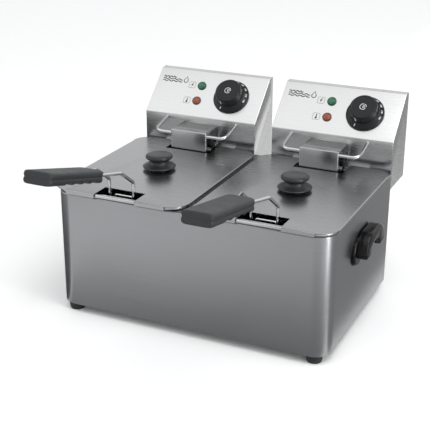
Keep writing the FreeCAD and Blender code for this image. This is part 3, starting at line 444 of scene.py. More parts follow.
def prism(bm, outline, low, high, plane="XY"):
    """Closed slab: an outline in the XY or YZ plane, extruded along the third axis."""
    bottom, top = [[bm.verts.new((a, b, level) if plane == "XY" else (level, a, b))
                    for a, b in outline] for level in (low, high)]
    bridge(bm, [bottom, top], closed=True)
    bm.faces.new(bottom[::-1])
    bm.faces.new(top)


# -------- stage, lights and camera

def area_light(name, place, aim, width, height, power):
    data = bpy.data.lights.new(name, "AREA")
    data.shape = "RECTANGLE"
    data.size, data.size_y = width, height
    data.energy = power
    light = bpy.data.objects.new(name, data)
    light.location = place
    light.rotation_euler = (Vector(aim) - Vector(place)).to_track_quat("-Z", "Y").to_euler()
    scene.collection.objects.link(light)


def flat_panel(name, corners, height):
    """Four-cornered panel lying level, with a plain material of its own."""
    mesh = bpy.data.meshes.new(name)
    mesh.from_pydata([(x, y, height) for x, y in corners], [], [(0, 1, 2, 3)])
    panel = bpy.data.objects.new(name, mesh)
    material, tree, bsdf = node_material(name)
    mesh.materials.append(material)
    scene.collection.objects.link(panel)
    return panel, tree, bsdf


def make_stage():
    reach, white = 9.0, 0.95
    floor, _, bsdf = flat_panel("floor", [(-reach, -reach), (reach, -reach), (reach, reach),
                                          (-reach, reach)], 0)
    fill(bsdf, {"Base Color": (white, white, white, 1), "Roughness": 0.8})
    make_sky()
    # Cards seen only in the case's reflections; the front card's tones are painted shade, darker
    # beside the case and darker towards its right.
    make_card("left_card", [(-0.215, -0.08), (-0.215, 3.0), (-2.5, 3.0), (-2.5, -2.6)],
              (0.08, 0.08), (1, 1))
    make_card("right_card", [(0.225, -0.06), (3.0, -0.06), (3.0, 3.0), (0.225, 3.0)],
              (0.27, 0.27), (1, 1))
    make_card("front_card", [(-0.7, -1.0), (0.7, -1.0), (0.7, -0.085), (-0.21, -0.085)],
              (0.45, 0.95), (1.0, 0.42))
    area_light("overhead", (0.9, -0.2, 2.2), (0, 0.1, 0.1), 1.2, 1.2, 13)
    area_light("right_strip", (1.9, -0.55, 0.55), (0.15, 0, 0.1), 0.35, 1.8, 14)


# Depth and width ranges of the cards' painted shade ramps.
CARD_SHADE_DEPTH, CARD_SHADE_WIDTH = (-0.09, -0.54), (-0.35, 0.25)


def make_card(name, corners, tones, side_shades):
    """Grey card lying on the floor beside the fryer, seen only in its shiny sides.

    Its tone is painted shade, standing in for the floor's contact shade in the case's reflections:
    it goes from the first of tones beside the case to the second 0.45 m in front of it, and is
    multiplied by a side shade, a painted darkening that goes from the first at its left to the
    second at its right.
    """
    card, tree, bsdf = flat_panel(name, corners, 0.0004)
    split = add_node(tree, "SeparateXYZ", {"Vector": object_place(tree, (1, 1, 1))})
    # painted shade: the tone darkens towards the case, and the side shade darkens it towards the
    # right
    tone = mapped(tree, split.outputs["Y"], CARD_SHADE_DEPTH, tones)
    side_shade = mapped(tree, split.outputs["X"], CARD_SHADE_WIDTH, side_shades)
    fill(bsdf, {"Base Color": reckoned(tree, "MULTIPLY", tone, side_shade), "Roughness": 1.0})
    card.visible_camera = False
    card.visible_diffuse = False
    card.visible_shadow = False
    card.visible_transmission = False


def make_sky():
    """Soft studio surround, whose tone goes by direction from before the fryer to behind it."""
    world = bpy.data.worlds.new("studio")
    world.use_nodes = True
    tree = world.node_tree
    where = add_node(tree, "TexCoord", {})
    split = add_node(tree, "SeparateXYZ", {"Vector": where.outputs["Generated"]})
    ramp = add_node(tree, "ValToRGB", {"Fac": mapped(tree, split.outputs["Y"], (-1, 1), (0, 1))})
    fill(tree.nodes["Background"], {"Color": ramp.outputs["Color"], "Strength": 1.5})
    stops = ramp.color_ramp.elements
    stops[0].position, stops[1].position = 0.0, 1.0
    tones = ((0.0, 0.40), (0.30, 0.95), (0.45, 0.95), (0.60, 0.42), (0.80, 0.42), (0.90, 0.66),
             (1.0, 0.66))
    for place, tone in tones:
        stop = stops[0] if place == 0 else stops[-1] if place == 1 else stops.new(place)
        stop.color = (tone, tone * 1.005, tone * 1.01, 1)
    scene.world = world
    scene.view_settings.view_transform = "Standard"


def make_camera():
    """Camera at the height, side and distance from which the fryer is usually pictured."""
    azimuth, elevation = math.radians(25.22), math.radians(21.48)
    data = bpy.data.cameras.new("camera")
    data.sensor_width = 36.0
    data.lens = 84.04
    data.shift_x, data.shift_y = 0.01725, -0.01647
    camera = bpy.data.objects.new("camera", data)
    camera.location = (0.5398, -1.15967, 0.66081)
    camera.rotation_euler = (math.pi / 2 - elevation, 0, azimuth)
    scene.collection.objects.link(camera)
    scene.camera = camera


make_stage()
make_camera()

# -------- case

CASE_CORNER = 25.0


def wrap_route(half, rear, corner, steps=16):
    """Places along the wrapped wall, seen from above, each with the direction facing out."""
    route = [(Vector((-half, rear, 0)), Vector((-1, 0, 0)))]
    for centre_x, start in ((corner - half, 180), (half - corner, 270)):
        for step in range(steps + 1):
            angle = math.radians(start + 90 * step / steps)
            out = Vector((math.cos(angle), math.sin(angle), 0))
            route.append((Vector((centre_x, corner, 0)) + out * corner, out))
    route.append((Vector((half, rear, 0)), Vector((1, 0, 0))))
    return route


def make_case_wrap():
    """Front and side walls bent from one sheet, with a softened lower edge and turned in at the
    top.
    """
    low, high = extent("case_wrap")
    route = wrap_route(high.x, high.y, CASE_CORNER)
    bottom, top = low.z, high.z
    profile = [(SHEET, bottom), (0.3, bottom), (0, bottom + 0.4), (0, top - 1.6),
               (0.25, top - 0.8), (0.8, top - 0.25), (1.6, top + 0.05), (3.5, top + 0.05),
               (3.5, top - 0.9), (1.6, top - 0.9), (SHEET, top - 1.6)]
    bm = bmesh.new()
    rows = []
    for inset, z in profile:
        rows.append([bm.verts.new(spot - out * inset + Vector((0, 0, z)))
                     for spot, out in route])
    bridge(bm, rows + [rows[0]])
    bm.faces.new([row[0] for row in rows])
    bm.faces.new([row[-1] for row in rows])
    piece = finish_piece("case_wrap_sheet", bm, "case", "case_steel")
    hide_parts("case_wrap")


def make_feet():
    """Tapered rubber feet, each with a moulded bead and a recess for its screw from below."""
    low, high = extent("feet")
    top_r = 12.0
    reach_x, near, far = high.x - top_r, low.y + top_r, high.y - top_r
    profile = softened([(0, 2.5), (3.4, 2.5), (3.6, 0.6), (5, 0), (9.4, 0), (10.1, 0.9),
                        (11.1, 7), (10.8, 8), (11.6, 9), (top_r, high.z)], 0.5)
    bm = bmesh.new()
    for x in (-reach_x, reach_x):
        for y in (near, far):
            foot = lathe(profile + [(0, high.z)], 40)
            foot.transform(Matrix.Translation((x, y, 0)))
            merge(bm, foot)
    piece = finish_piece("rubber_feet", bm, "case", "foot_rubber")
    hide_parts("feet")


def make_side_handle(side):
    """Moulded carrying handle: two round feet under an arch with a crowned outer face."""
    low, high = extent(f"side_handle_{side}")
    sign = SIDES[side]
    wall = 200.0
    centre_y = (low.y + high.y) / 2
    foot_r, foot_z, pitch, thick = 19.0, 121.0, 60.0, 4.5
    half, gap, leg_low, arch_low, top = 41.0, 19.0, 114.0, 129.0, high.z
    reach = high.x - wall if side == "right" else -wall - low.x
    right = [(gap - 6, arch_low), (gap, leg_low + 5), (gap + 3, leg_low), (half - 3, leg_low),
             (half, leg_low + 6), (half - 5, leg_low + 21), (half - 19, top)]
    left = [(-y, z) for y, z in reversed(right)]
    outline = softened([(0, arch_low)] + right + left + [(0, arch_low)], 7, 6)[:-1]
    bm = bmesh.new()
    base = thick - 1.5
    layers = [(0, base), (0, reach - 2.6), (0.3, reach - 1.4), (1.1, reach - 0.5), (2.4, reach)]
    rows = []
    for inset, x in layers:
        spots = inset_outline(outline, inset)
        rows.append([bm.verts.new((x, y, z)) for y, z in spots])
    bridge(bm, rows, closed=True)
    bm.faces.new(rows[0])
    bm.faces.new(rows[-1][::-1])
    disc = softened([(0, 0.02), (foot_r - 0.6, 0.02), (foot_r, 0.6), (foot_r, thick - 1.6),
                     (foot_r - 1.6, thick), (0, thick)], 0.8)
    for end in (-1, 1):
        foot = lathe(disc, 56)
        foot.transform(Matrix.Translation((0, end * pitch / 2, foot_z))
                       @ Matrix.Rotation(math.pi / 2, 4, "Y"))
        merge(bm, foot)
    turn = Matrix.Translation((sign * wall, centre_y, 0))
    if side == "left":
        turn = turn @ Matrix.Rotation(math.pi, 4, "Z")
    piece = finish_piece(f"carrying_handle_{side}", bm, "case", "black_bakelite", matrix=turn)
    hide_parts(f"side_handle_{side}")


# -------- tank and lid

def tank_row(bm, inset, z):
    """Rounded rectangle of the tank's wall, moved inwards by inset, at a height."""
    half, front, rear, corner = 86.0, 11.0, 247.0, 24.0
    outline = rounded_outline((inset - half, front + inset), (half - inset, rear - inset),
                              corner - inset, 10)
    return [bm.verts.new((x, y, z)) for x, y in outline]


def make_tank(side):
    """Deep-drawn tank: rolled rim, flange, soft lip, walls and a wide fillet at the floor."""
    low, high = extent(f"tank_{side}", TANK_X[side])
    bead_r = 2.6
    bead_z = high.z - bead_r
    flange = rounded_outline((low.x + bead_r, low.y + bead_r), (high.x - bead_r, high.y - bead_r),
                             24, 10)
    top, floor, sole = bead_z + SHEET / 2, low.z, 14.0
    bm = bmesh.new()
    rows = [[bm.verts.new((x, y, top)) for x, y in flange]]
    lip = 2.5
    for inset, z in [(SHEET - lip + spot[0], top - lip + spot[1])
                     for spot in arc((0, 0), lip, 90, 0, 5)]:
        rows.append(tank_row(bm, inset, z))
    inner_r = sole - SHEET
    for across, z in arc((SHEET + inner_r, floor + sole), inner_r, 180, 270, 8):
        rows.append(tank_row(bm, across, z))
    bridge(bm, rows, closed=True)
    bm.faces.new(rows[-1])
    under = [[bm.verts.new((x, y, top - SHEET)) for x, y in flange], tank_row(bm, -1, top - SHEET),
             tank_row(bm, 0, top - SHEET - 1)]
    for across, z in arc((sole, floor + sole), sole, 180, 270, 8):
        under.append(tank_row(bm, across, z))
    bridge(bm, under, closed=True)
    bm.faces.new(under[-1])
    bridge(bm, [rows[0], under[0]], closed=True)
    tube(bm, [Vector((x, y, bead_z)) for x, y in flange], bead_r, 14, closed=True)
    piece = finish_piece(f"tank_shell_{side}", bm, f"tank_{side}", "tank_steel", TANK_X[side])
    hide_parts(f"tank_{side}")


def make_lid(side):
    """Sheet lid with bent skirts, relieved at the round corners, and its two notches."""
    low, high = extent(f"lid_{side}", TANK_X[side])
    half, front, rear, top, hem = high.x, low.y, high.y, high.z, low.z
    corner, bend = 25.0, 1.7
    notch, notch_rear = 31.0, 29.0
    back_notch, back_front = 37.0, 219.0
    side_end = rear - corner - 2
    right = [(notch, notch_rear), (notch, front + bend), (half - corner, front + bend),
             (half - corner, front)]
    right += arc((half - corner, front + corner), corner, -90, 0, 14)[1:]
    right += [(half - bend, front + corner), (half - bend, side_end), (half, side_end)]
    right += arc((half - corner, rear - corner), corner, 0, 90, 14)
    right += [(back_notch, rear), (back_notch, back_front)]
    outline = right + [(-x, y) for x, y in reversed(right)]
    bm = bmesh.new()
    plate = {spot: bm.verts.new((*spot, top)) for spot in outline}
    bm.faces.new([plate[spot] for spot in outline])
    runs = []
    for sign in (-1, 1):
        runs.append(((sign * notch, front + bend), (sign * (half - corner), front + bend),
                     Vector((0, -1, 0))))
        runs.append(((sign * (half - bend), front + corner), (sign * (half - bend), side_end),
                     Vector((sign, 0, 0))))
    for start, end, out in runs:
        rows = [[plate[start], plate[end]]]
        curve = arc((0, -bend), bend, 90, 0, 5)[1:] + [(bend, hem - top)]
        for reach, drop in curve:
            rows.append([bm.verts.new(Vector((*spot, top + drop)) + out * reach)
                         for spot in (start, end)])
        bridge(bm, rows)
    piece = finish_piece(f"lid_sheet_{side}", bm, f"lid_{side}", "lid_steel", TANK_X[side],
                         open_sheet=True)
    add_thickness(piece)
    add_bevel(piece, 0.25, 50)
    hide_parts(f"lid_{side}")


def make_lid_knob(side):
    """Turned-look moulded knob with a wide flange, a waist and a crowned top."""
    low, high = extent(f"lid_knob_{side}", TANK_X[side])
    profile = softened([(0, 0), (13, 0), (13.4, 3.0), (22.6, 3.3), (24, 4.2), (23.2, 5.4),
                        (19.5, 6.8), (15.6, 9.2), (13.9, 12.2), (14.5, 14.8), (18.4, 16.2),
                        (19.5, 17.8), (19.2, 20.4), (16.5, 22.0), (9, 22.7), (0, 22.8)], 1.6, 5)
    place = Matrix.Translation((0, (low.y + high.y) / 2, low.z))
    piece = finish_piece(f"knob_{side}", lathe(profile, 72), f"lid_{side}", "dial_black",
                         TANK_X[side], KNOB_BLACK, matrix=place)
    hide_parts(f"lid_knob_{side}")


# -------- basket

BASKET_FRONT, BASKET_REAR, BASKET_HALF = 31.0, 203.0, 77.0
BASKET_CORNER, BASKET_SOLE, BASKET_FLOOR = 19.0, 7.0, 69.0
MESH_TOP, MESH_PITCH, MESH_WIRE = 165.0, 7.0, 0.55


def resampled(route, pitch):
    """Points a pitch apart along a route, with its two ends kept."""
    out = [route[0]]
    left = pitch
    for start, end in zip(route, route[1:]):
        length = (end - start).length
        travelled = 0.0
        while length - travelled > left:
            travelled += left
            out.append(start.lerp(end, travelled / length))
            left = pitch
        left -= length - travelled
    out.append(route[-1])
    return out


def woven(bm, route, parity, closed=False):
    """A wire of the mesh, which passes over and under the wires it crosses."""
    spots = resampled(route, MESH_PITCH)
    if closed:
        spots.pop()
    middle_spot = Vector((0, (BASKET_FRONT + BASKET_REAR) / 2, MESH_TOP))
    wavy = []
    for index, spot in enumerate(spots):
        inward = middle_spot - spot
        if abs(spot.z - BASKET_FLOOR) > 2:
            inward.z = 0
        else:
            inward.x = inward.y = 0
        side = 1 if (index + parity) % 2 else -1
        wavy.append(spot + inward.normalized() * MESH_WIRE * side)
    tube(bm, wavy, MESH_WIRE, 6, closed)


def drawn_in(past, radius):
    """How far a side has curved in at a distance past the start of a corner's radius."""
    return radius - math.sqrt(max(0.0, radius ** 2 - min(past, radius) ** 2))


def hoop(start, end):
    """Side view of a wire that runs down one wall, across the floor and up the other wall."""
    sole, centre = BASKET_SOLE, BASKET_FLOOR + BASKET_SOLE
    return ([(start, MESH_TOP)] + arc((start + sole, centre), sole, 180, 270, 4)
            + arc((end - sole, centre), sole, 270, 360, 4) + [(end, MESH_TOP)])


def hoop_places(half):
    """Numbers and places of the hoops that stand across a half width or length."""
    count = int((half - BASKET_SOLE) / MESH_PITCH)
    for index in range(-count, count + 1):
        place = index * MESH_PITCH
        yield index, place, drawn_in(max(0.0, abs(place) - half + BASKET_CORNER), BASKET_CORNER)


def make_basket_mesh(side):
    """Woven wire: hoops down the walls and across the floor both ways, and level rings."""
    bm = bmesh.new()
    for index, x, inset in hoop_places(BASKET_HALF):
        woven(bm, [Vector((x, y, z)) for y, z in hoop(BASKET_FRONT + inset, BASKET_REAR - inset)],
              index)
    middle_y = (BASKET_FRONT + BASKET_REAR) / 2
    for index, y, inset in hoop_places(BASKET_REAR - middle_y):
        reach = BASKET_HALF - inset
        woven(bm, [Vector((x, middle_y + y, z)) for x, z in hoop(-reach, reach)], index)
    ring = rounded_outline((-BASKET_HALF, BASKET_FRONT), (BASKET_HALF, BASKET_REAR),
                           BASKET_CORNER, 8)
    level, parity = BASKET_FLOOR + BASKET_SOLE, 0
    while level < MESH_TOP - MESH_PITCH / 2:
        woven(bm, [Vector((x, y, level)) for x, y in ring + ring[:1]], parity, closed=True)
        level += MESH_PITCH
        parity += 1
    piece = finish_piece(f"woven_mesh_{side}", bm, f"basket_{side}", "basket_wire", TANK_X[side],
                         smooth=80)
    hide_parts(f"basket_mesh_{side}")


def make_basket_frame(side):
    """Rim wire with the rear hooks and the small front loop welded on."""
    rim_z, rim_r, rim_corner = 166.0, 2.4, 20.0
    hook_x, hook_rise, hook_reach, hook_r = 44, 3.6, 16, 2.0
    bm = bmesh.new()
    ring = rounded_outline((-BASKET_HALF, BASKET_FRONT), (BASKET_HALF, BASKET_REAR),
                           rim_corner, 10)
    tube(bm, [Vector((x, y, rim_z)) for x, y in ring], rim_r, 14, closed=True)
    for x in (-hook_x, hook_x):
        hook = [(x, BASKET_REAR, rim_z), (x, BASKET_REAR + 7, rim_z + hook_rise),
                (x, BASKET_REAR + hook_reach, rim_z + hook_rise),
                (x, BASKET_REAR + hook_reach + 2, rim_z - 12)]
        tube(bm, bent_route(hook, 3), hook_r, 12)
    loop_x, loop_y, loop_z, loop_r = 14, BASKET_FRONT - 6, rim_z + 13, 1.4
    left = [(-loop_x, BASKET_FRONT, rim_z), (-loop_x, loop_y, rim_z), (-loop_x, loop_y, loop_z)]
    loop = left + [(-x, y, z) for x, y, z in reversed(left)]
    tube(bm, bent_route(loop, 2.5), loop_r, 12)
    piece = finish_piece(f"basket_rim_{side}", bm, f"basket_{side}", "basket_wire", TANK_X[side],
                         smooth=50)
    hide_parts(f"basket_frame_{side}")


GRIP_LENGTH, GRIP_HALF, GRIP_HEIGHT, GRIP_WIRE_X = 123.0, 20.0, 8.2, 8.5
GRIP_TIP_CORNER, WAVES_START, WAVES_END = 4.5, 9.0, 89.0
GRIP_ROOT = {"left": (-55.0, 234.5), "right": (-56.5, 232.0)}
GRIP_SLOPE = {"left": math.radians(16.1), "right": math.radians(10.8)}


def grip_matrix(side):
    """From a grip's own frame, x across, y from its inner end to its tip, z up."""
    y, z = GRIP_ROOT[side]
    return (Matrix.Translation((0, y, z)) @ Matrix.Rotation(-GRIP_SLOPE[side], 4, "X")
            @ Matrix.Scale(-1, 4, (0, 1, 0)))


def make_handle_wire(side):
    """One bent wire from the basket's front, up through the lid's notch and into the grip."""
    leg_x, leg_y, foot_z, knee_z, wire_r, bend = 18.5, 19.0, 118.0, 203.0, 2.3, 5
    shoulder_y, shoulder_z, inner_end, outer_end = -13.0, 226.0, 4, 80
    route = []
    for sign in (1, -1):
        run = [Vector((sign * leg_x, y, z))
               for y, z in ((BASKET_FRONT - 1.2, foot_z), (leg_y, foot_z), (leg_y, knee_z),
                            (shoulder_y, shoulder_z))]
        run += [grip_matrix(side) @ Vector((sign * GRIP_WIRE_X, along, 0))
                for along in (inner_end, outer_end)]
        route += run[::sign]
    bm = bmesh.new()
    tube(bm, bent_route(route, bend, 8), wire_r, 16)
    piece = finish_piece(f"handle_rod_{side}", bm, f"basket_{side}", "chrome_wire", TANK_X[side],
                         smooth=50)
    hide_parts(f"handle_wire_{side}")


def grip_section(along, upper):
    """Half width and height of the grip at a place along it, with the finger waves below."""
    from_root, from_tip = along, GRIP_LENGTH - along
    inner_corner, edge = 7.0, 2.2
    width = (GRIP_HALF - drawn_in(max(0.0, inner_corner - from_root), inner_corner)
             - drawn_in(max(0.0, GRIP_TIP_CORNER - from_tip), GRIP_TIP_CORNER))
    height = GRIP_HEIGHT - drawn_in(max(0.0, edge - min(from_root, from_tip)), edge)
    pitch, depth = 20.0, 2.3
    if not upper and WAVES_START < along < WAVES_END:
        height -= depth * abs(math.sin(math.pi * (along - WAVES_START) / pitch))
    return width, height


def make_grip_half(side, upper):
    """Upper or lower shell: soft-edged, with a step at the parting line and closed ends."""
    name = "top" if upper else "bottom"
    rise = 1 if upper else -1
    steps, power = 16, 0.26
    groove, step_z, parting_z = 1.0, 0.85, rise * 0.06
    places = [0, 0.15, 0.5, 1.0, 1.8, 3.0, 4.6, 7.0, 98, 106, 114]
    places += [WAVES_START + (WAVES_END - WAVES_START) * step / 48 for step in range(49)]
    places += [GRIP_LENGTH - GRIP_TIP_CORNER * (1 - math.sin(math.radians(9 * step)))
               for step in range(11)]
    bm = bmesh.new()
    rows = []
    for along in sorted(set(places)):
        width, height = grip_section(along, upper)
        row = [bm.verts.new((width - groove, along, parting_z))]
        for step in range(steps + 1):
            angle = math.pi * (0.02 + 0.96 * step / steps)
            x = width * math.copysign(abs(math.cos(angle)) ** power, math.cos(angle))
            z = step_z + (height - step_z) * math.sin(angle) ** (2 * power)
            row.append(bm.verts.new((x, along, rise * z)))
        row.append(bm.verts.new((groove - width, along, parting_z)))
        rows.append(row)
    bridge(bm, rows, closed=True)
    bm.faces.new(rows[0])
    bm.faces.new(rows[-1])
    piece = finish_piece(f"grip_{name}_shell_{side}", bm, f"basket_{side}", "grip_grey",
                         TANK_X[side], smooth=42, matrix=grip_matrix(side))
    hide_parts(f"grip_{name}_{side}")


# -------- head

HEAD_FRONT, HEAD_REAR, HEAD_LOW = 266.6, 337.0, 154.0
PANEL_LOW, PANEL_LENGTH, PANEL_ANGLE = 225.0, 82.3, math.radians(43.7)


def on_panel(across=0.0, up=0.0, out=0.0):
    """From a frame on the slanted panel: x across it, y up it and z out of it."""
    return (Matrix.Translation((0, HEAD_FRONT, PANEL_LOW)) @ Matrix.Rotation(PANEL_ANGLE, 4, "X")
            @ Matrix.Translation((across, up, out)))


def folded_box(bm, outline, half, closed_ends, bend, steps=4):
    """Sheet folded along a YZ outline with side walls, and its folds rounded."""
    ends = []
    for sign in (-1, 1):
        ends.append([bm.verts.new((sign * half, y, z)) for y, z in outline])
    for index in range(closed_ends):
        bm.faces.new((ends[0][index], ends[0][index + 1], ends[1][index + 1], ends[1][index]))
    for row in ends:
        bm.faces.new(row)
    folds = [edge for edge in bm.edges if len(edge.link_faces) == 2]
    bmesh.ops.bevel(bm, geom=folds, offset=bend, segments=steps, profile=0.5, affect="EDGES",
                    clamp_overlap=True)


def make_head_cover(side):
    """Folded cover: front plate, slanted control panel, top and side walls in one skin."""
    half = extent(f"head_cover_{side}", HEAD_X[side])[1].x
    ridge = on_panel(0, PANEL_LENGTH) @ Vector((0, 0, 0))
    outline = [(HEAD_FRONT, HEAD_LOW), (HEAD_FRONT, PANEL_LOW), (ridge.y, ridge.z),
               (HEAD_REAR, ridge.z), (HEAD_REAR, HEAD_LOW)]
    bm = bmesh.new()
    folded_box(bm, outline, half, 3, 1.0)
    lip_y, lip_z, lip_half, lip_drop, thick, root_y = 260.0, 178.8, 60.0, 12, 1.2, HEAD_FRONT + 0.5
    lip = [(lip_y, lip_z - lip_drop), (lip_y, lip_z + thick), (root_y, lip_z + thick),
           (root_y, lip_z), (lip_y + thick, lip_z), (lip_y + thick, lip_z - lip_drop)]
    piece = finish_piece(f"control_cover_{side}", bm, f"head_{side}", "panel_steel", HEAD_X[side],
                         open_sheet=True)
    add_thickness(piece)
    hook = bmesh.new()
    prism(hook, lip, -lip_half, lip_half, "YZ")
    catch = finish_piece(f"hook_lip_{side}", hook, f"head_{side}", "panel_steel", HEAD_X[side],
                         SLOT_MATERIALS["lid_steel"])
    add_bevel(catch, 0.3)
    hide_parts(f"head_cover_{side}")


def make_element_cover(side):
    """Folded guard over the heater's legs, open below and behind."""
    half, front, top, low = 29.5, 222.0, 215.0, 92.0
    step_y, step_z, rear = 241.0, 186.5, HEAD_FRONT
    outline = [(front, low), (front, top), (rear, top), (rear, step_z), (step_y, step_z),
               (step_y, low)]
    bm = bmesh.new()
    folded_box(bm, outline, half, 2, 1.4)
    piece = finish_piece(f"heater_guard_{side}", bm, f"head_{side}", "lid_steel", TANK_X[side],
                         GUARD_STEEL, open_sheet=True)
    add_thickness(piece)
    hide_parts(f"element_cover_{side}")


def make_cover_plug(side):
    """Moulded cap on the guard's right wall: a stepped rim round a dished centre."""
    radius, reach, wall, plug_y, plug_z = 8.5, 7.0, 29.5, 237.0, 198.0
    profile = softened([(0, -0.5), (radius, -0.5), (radius, 4.6), (radius - 0.9, reach - 0.6),
                        (radius - 2, reach), (6.0, reach), (5.2, reach - 1.6),
                        (3.4, reach - 1.8), (3.0, reach - 0.9), (0, reach - 0.7)], 0.4)
    place = Matrix.Translation((wall, plug_y, plug_z)) @ Matrix.Rotation(math.pi / 2, 4, "Y")
    piece = finish_piece(f"guard_cap_{side}", lathe(profile, 48), f"head_{side}",
                         "black_bakelite", TANK_X[side], matrix=place)
    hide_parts(f"cover_plug_{side}")


def make_drain_bar(side):
    """Chromed wire along which a lifted basket hangs, with its welded roots."""
    half, bar_y, bar_z, wire_r, bend = 58.0, 226.5, 208.5, 2.5, 11
    root_y, root_z = HEAD_FRONT + 0.3, 220.0
    route = [(-half, root_y, root_z), (-half, bar_y, bar_z), (half, bar_y, bar_z),
             (half, root_y, root_z)]
    bm = bmesh.new()
    tube(bm, bent_route(route, bend, 10), wire_r, 16)
    piece = finish_piece(f"drain_wire_{side}", bm, f"head_{side}", "chrome_wire", TANK_X[side],
                         smooth=50)
    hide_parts(f"drain_bar_{side}")


# -------- control panel

DIAL_ACROSS, DIAL_UP = 40.8, 41.0
LAMP_ACROSS = -14.1
LAMPS = {"power": (55.3, "green_lens"), "heat": (28.0, "orange_lens")}


def make_dial(side):
    """Thermostat dial: a bevelled skirt for the numbers and a tall cap with a sunk top."""
    profile = softened([(0, 0.9), (28.3, 0.9), (28.3, 3.0), (27.3, 3.9), (22.4, 7.2),
                        (21.3, 7.5), (20.9, 8.4), (20.2, 19.4), (18.8, 21), (17.4, 21),
                        (16.9, 20.6), (0, 20.6)], 0.6, 4)
    piece = finish_piece(f"dial_{side}", lathe(profile, 96), f"dial_{side}", "dial_black",
                         HEAD_X[side], matrix=on_panel(DIAL_ACROSS, DIAL_UP))
    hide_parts(f"dial_knob_{side}")


def stroke(bm, spots, width, low, high, closed=False):
    """Flat printed line along points, as a thin closed slab with square ends."""
    points = [Vector(spot) for spot in spots]
    count = len(points)
    left, right = [], []
    for index, spot in enumerate(points):
        before = points[index - 1] if closed or index else spot
        after = points[(index + 1) % count] if closed or index < count - 1 else spot
        along = (after - before).normalized()
        out = Vector((-along.y, along.x)) * width / 2
        left.append(spot + out)
        right.append(spot - out)
    if not closed:
        outline = [tuple(spot) for spot in left + right[::-1]]
        prism(bm, outline, low, high)
        return
    rows = []
    for ring, z in ((left, low), (left, high), (right, high), (right, low)):
        rows.append([bm.verts.new((*spot, z)) for spot in ring])
    bridge(bm, rows + [rows[0]], closed=True)


def on_dial(angle, radius, height, lean):
    """From a frame on the dial's flank, at an angle round it in degrees and leaning outwards."""
    return (Matrix.Rotation(math.radians(angle - 90), 4, "Z")
            @ Matrix.Translation((0, radius, height)) @ Matrix.Rotation(-lean, 4, "X"))


def make_dial_print(side):
    """White numbers on the skirt, the pointer on the cap and a plain mark on its top."""
    skirt_r, skirt_z, skirt_lean = 24.9, 5.6, math.atan2(3.3, 4.9)
    cap_r, cap_z, cap_lean, cap_top = 20.58, 13.9, math.radians(86.5), 20.6
    first_angle, pitch_angle, pointer_angle = 153, 24, -112
    thick = 0.06
    bm = bmesh.new()
    for index, value in enumerate(range(50, 200, 20)):
        place = on_dial(first_angle - pitch_angle * index, skirt_r, skirt_z + 0.02, skirt_lean)
        merge(bm, number_mesh(str(value), 3.6), place)
    tick = bmesh.new()
    stroke(tick, [(0, -1.9), (0, 1.9)], 1.1, 0, 0.08)
    merge(bm, tick, on_dial(pointer_angle, skirt_r, skirt_z, skirt_lean))
    pointer = bmesh.new()
    stroke(pointer, [(0, -4.0), (0, 4.0)], 1.7, 0, 0.1)
    merge(bm, pointer, on_dial(pointer_angle, cap_r, cap_z, cap_lean))
    for spots, width in ((arc((0, 0), 4.6, 0, 330, 22), 0.7), ([(0, -2.4), (0, 2.4)], 0.8),
                         (arc((0, 0), 2.6, -60, 60, 8), 0.6)):
        stroke(bm, spots, width, cap_top, cap_top + thick)
    finish_piece(f"dial_print_{side}", bm, f"dial_{side}", "inner_plastic", HEAD_X[side],
                 WHITE_INK, matrix=on_panel(DIAL_ACROSS, DIAL_UP))


def number_mesh(text, height):
    """Flat printed digits, centred on their own origin."""
    curve = bpy.data.curves.new("digits", "FONT")
    curve.body = text
    curve.size = height
    curve.align_x, curve.align_y = "CENTER", "CENTER"
    curve.offset = 0.06
    curve.extrude = 0.04
    holder = bpy.data.objects.new("digits", curve)
    mesh = bpy.data.meshes.new_from_object(holder)
    bm = bmesh.new()
    bm.from_mesh(mesh)
    bpy.data.objects.remove(holder)
    bpy.data.curves.remove(curve)
    bpy.data.meshes.remove(mesh)
    return bm


def make_lamp(side, kind):
    """Indicator lamp: a domed lens with stepped rings inside a moulded collar, whose tint is a
    darker copy of the lens colour, painted shade for the lens's dark rim.
    """
    up, lens_slot = LAMPS[kind]
    place = on_panel(LAMP_ACROSS, up)
    collar = lathe(softened([(5.9, 0.06), (7.0, 0.06), (7.0, 1.3), (6.6, 2.0), (6.0, 2.2),
                             (5.7, 1.8), (5.7, 0.06)], 0.3), 48)
    finish_piece(f"lamp_collar_{kind}_{side}", collar, f"head_{side}", "dial_black",
                 HEAD_X[side], LAMP_SHADED_COLLAR[kind], matrix=place)
    lens = lathe(softened([(0, -6), (5.7, -6), (5.7, 1.9), (5.2, 2.5), (4.5, 2.5), (4.3, 2.9),
                           (3.4, 3.0), (3.2, 3.4), (2.1, 3.5), (1.9, 3.8), (0, 3.9)], 0.25), 48)
    piece = finish_piece(f"lamp_lens_{kind}_{side}", lens, f"head_{side}", lens_slot,
                         HEAD_X[side], matrix=place)
    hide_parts(f"lamp_{kind}_{side}")


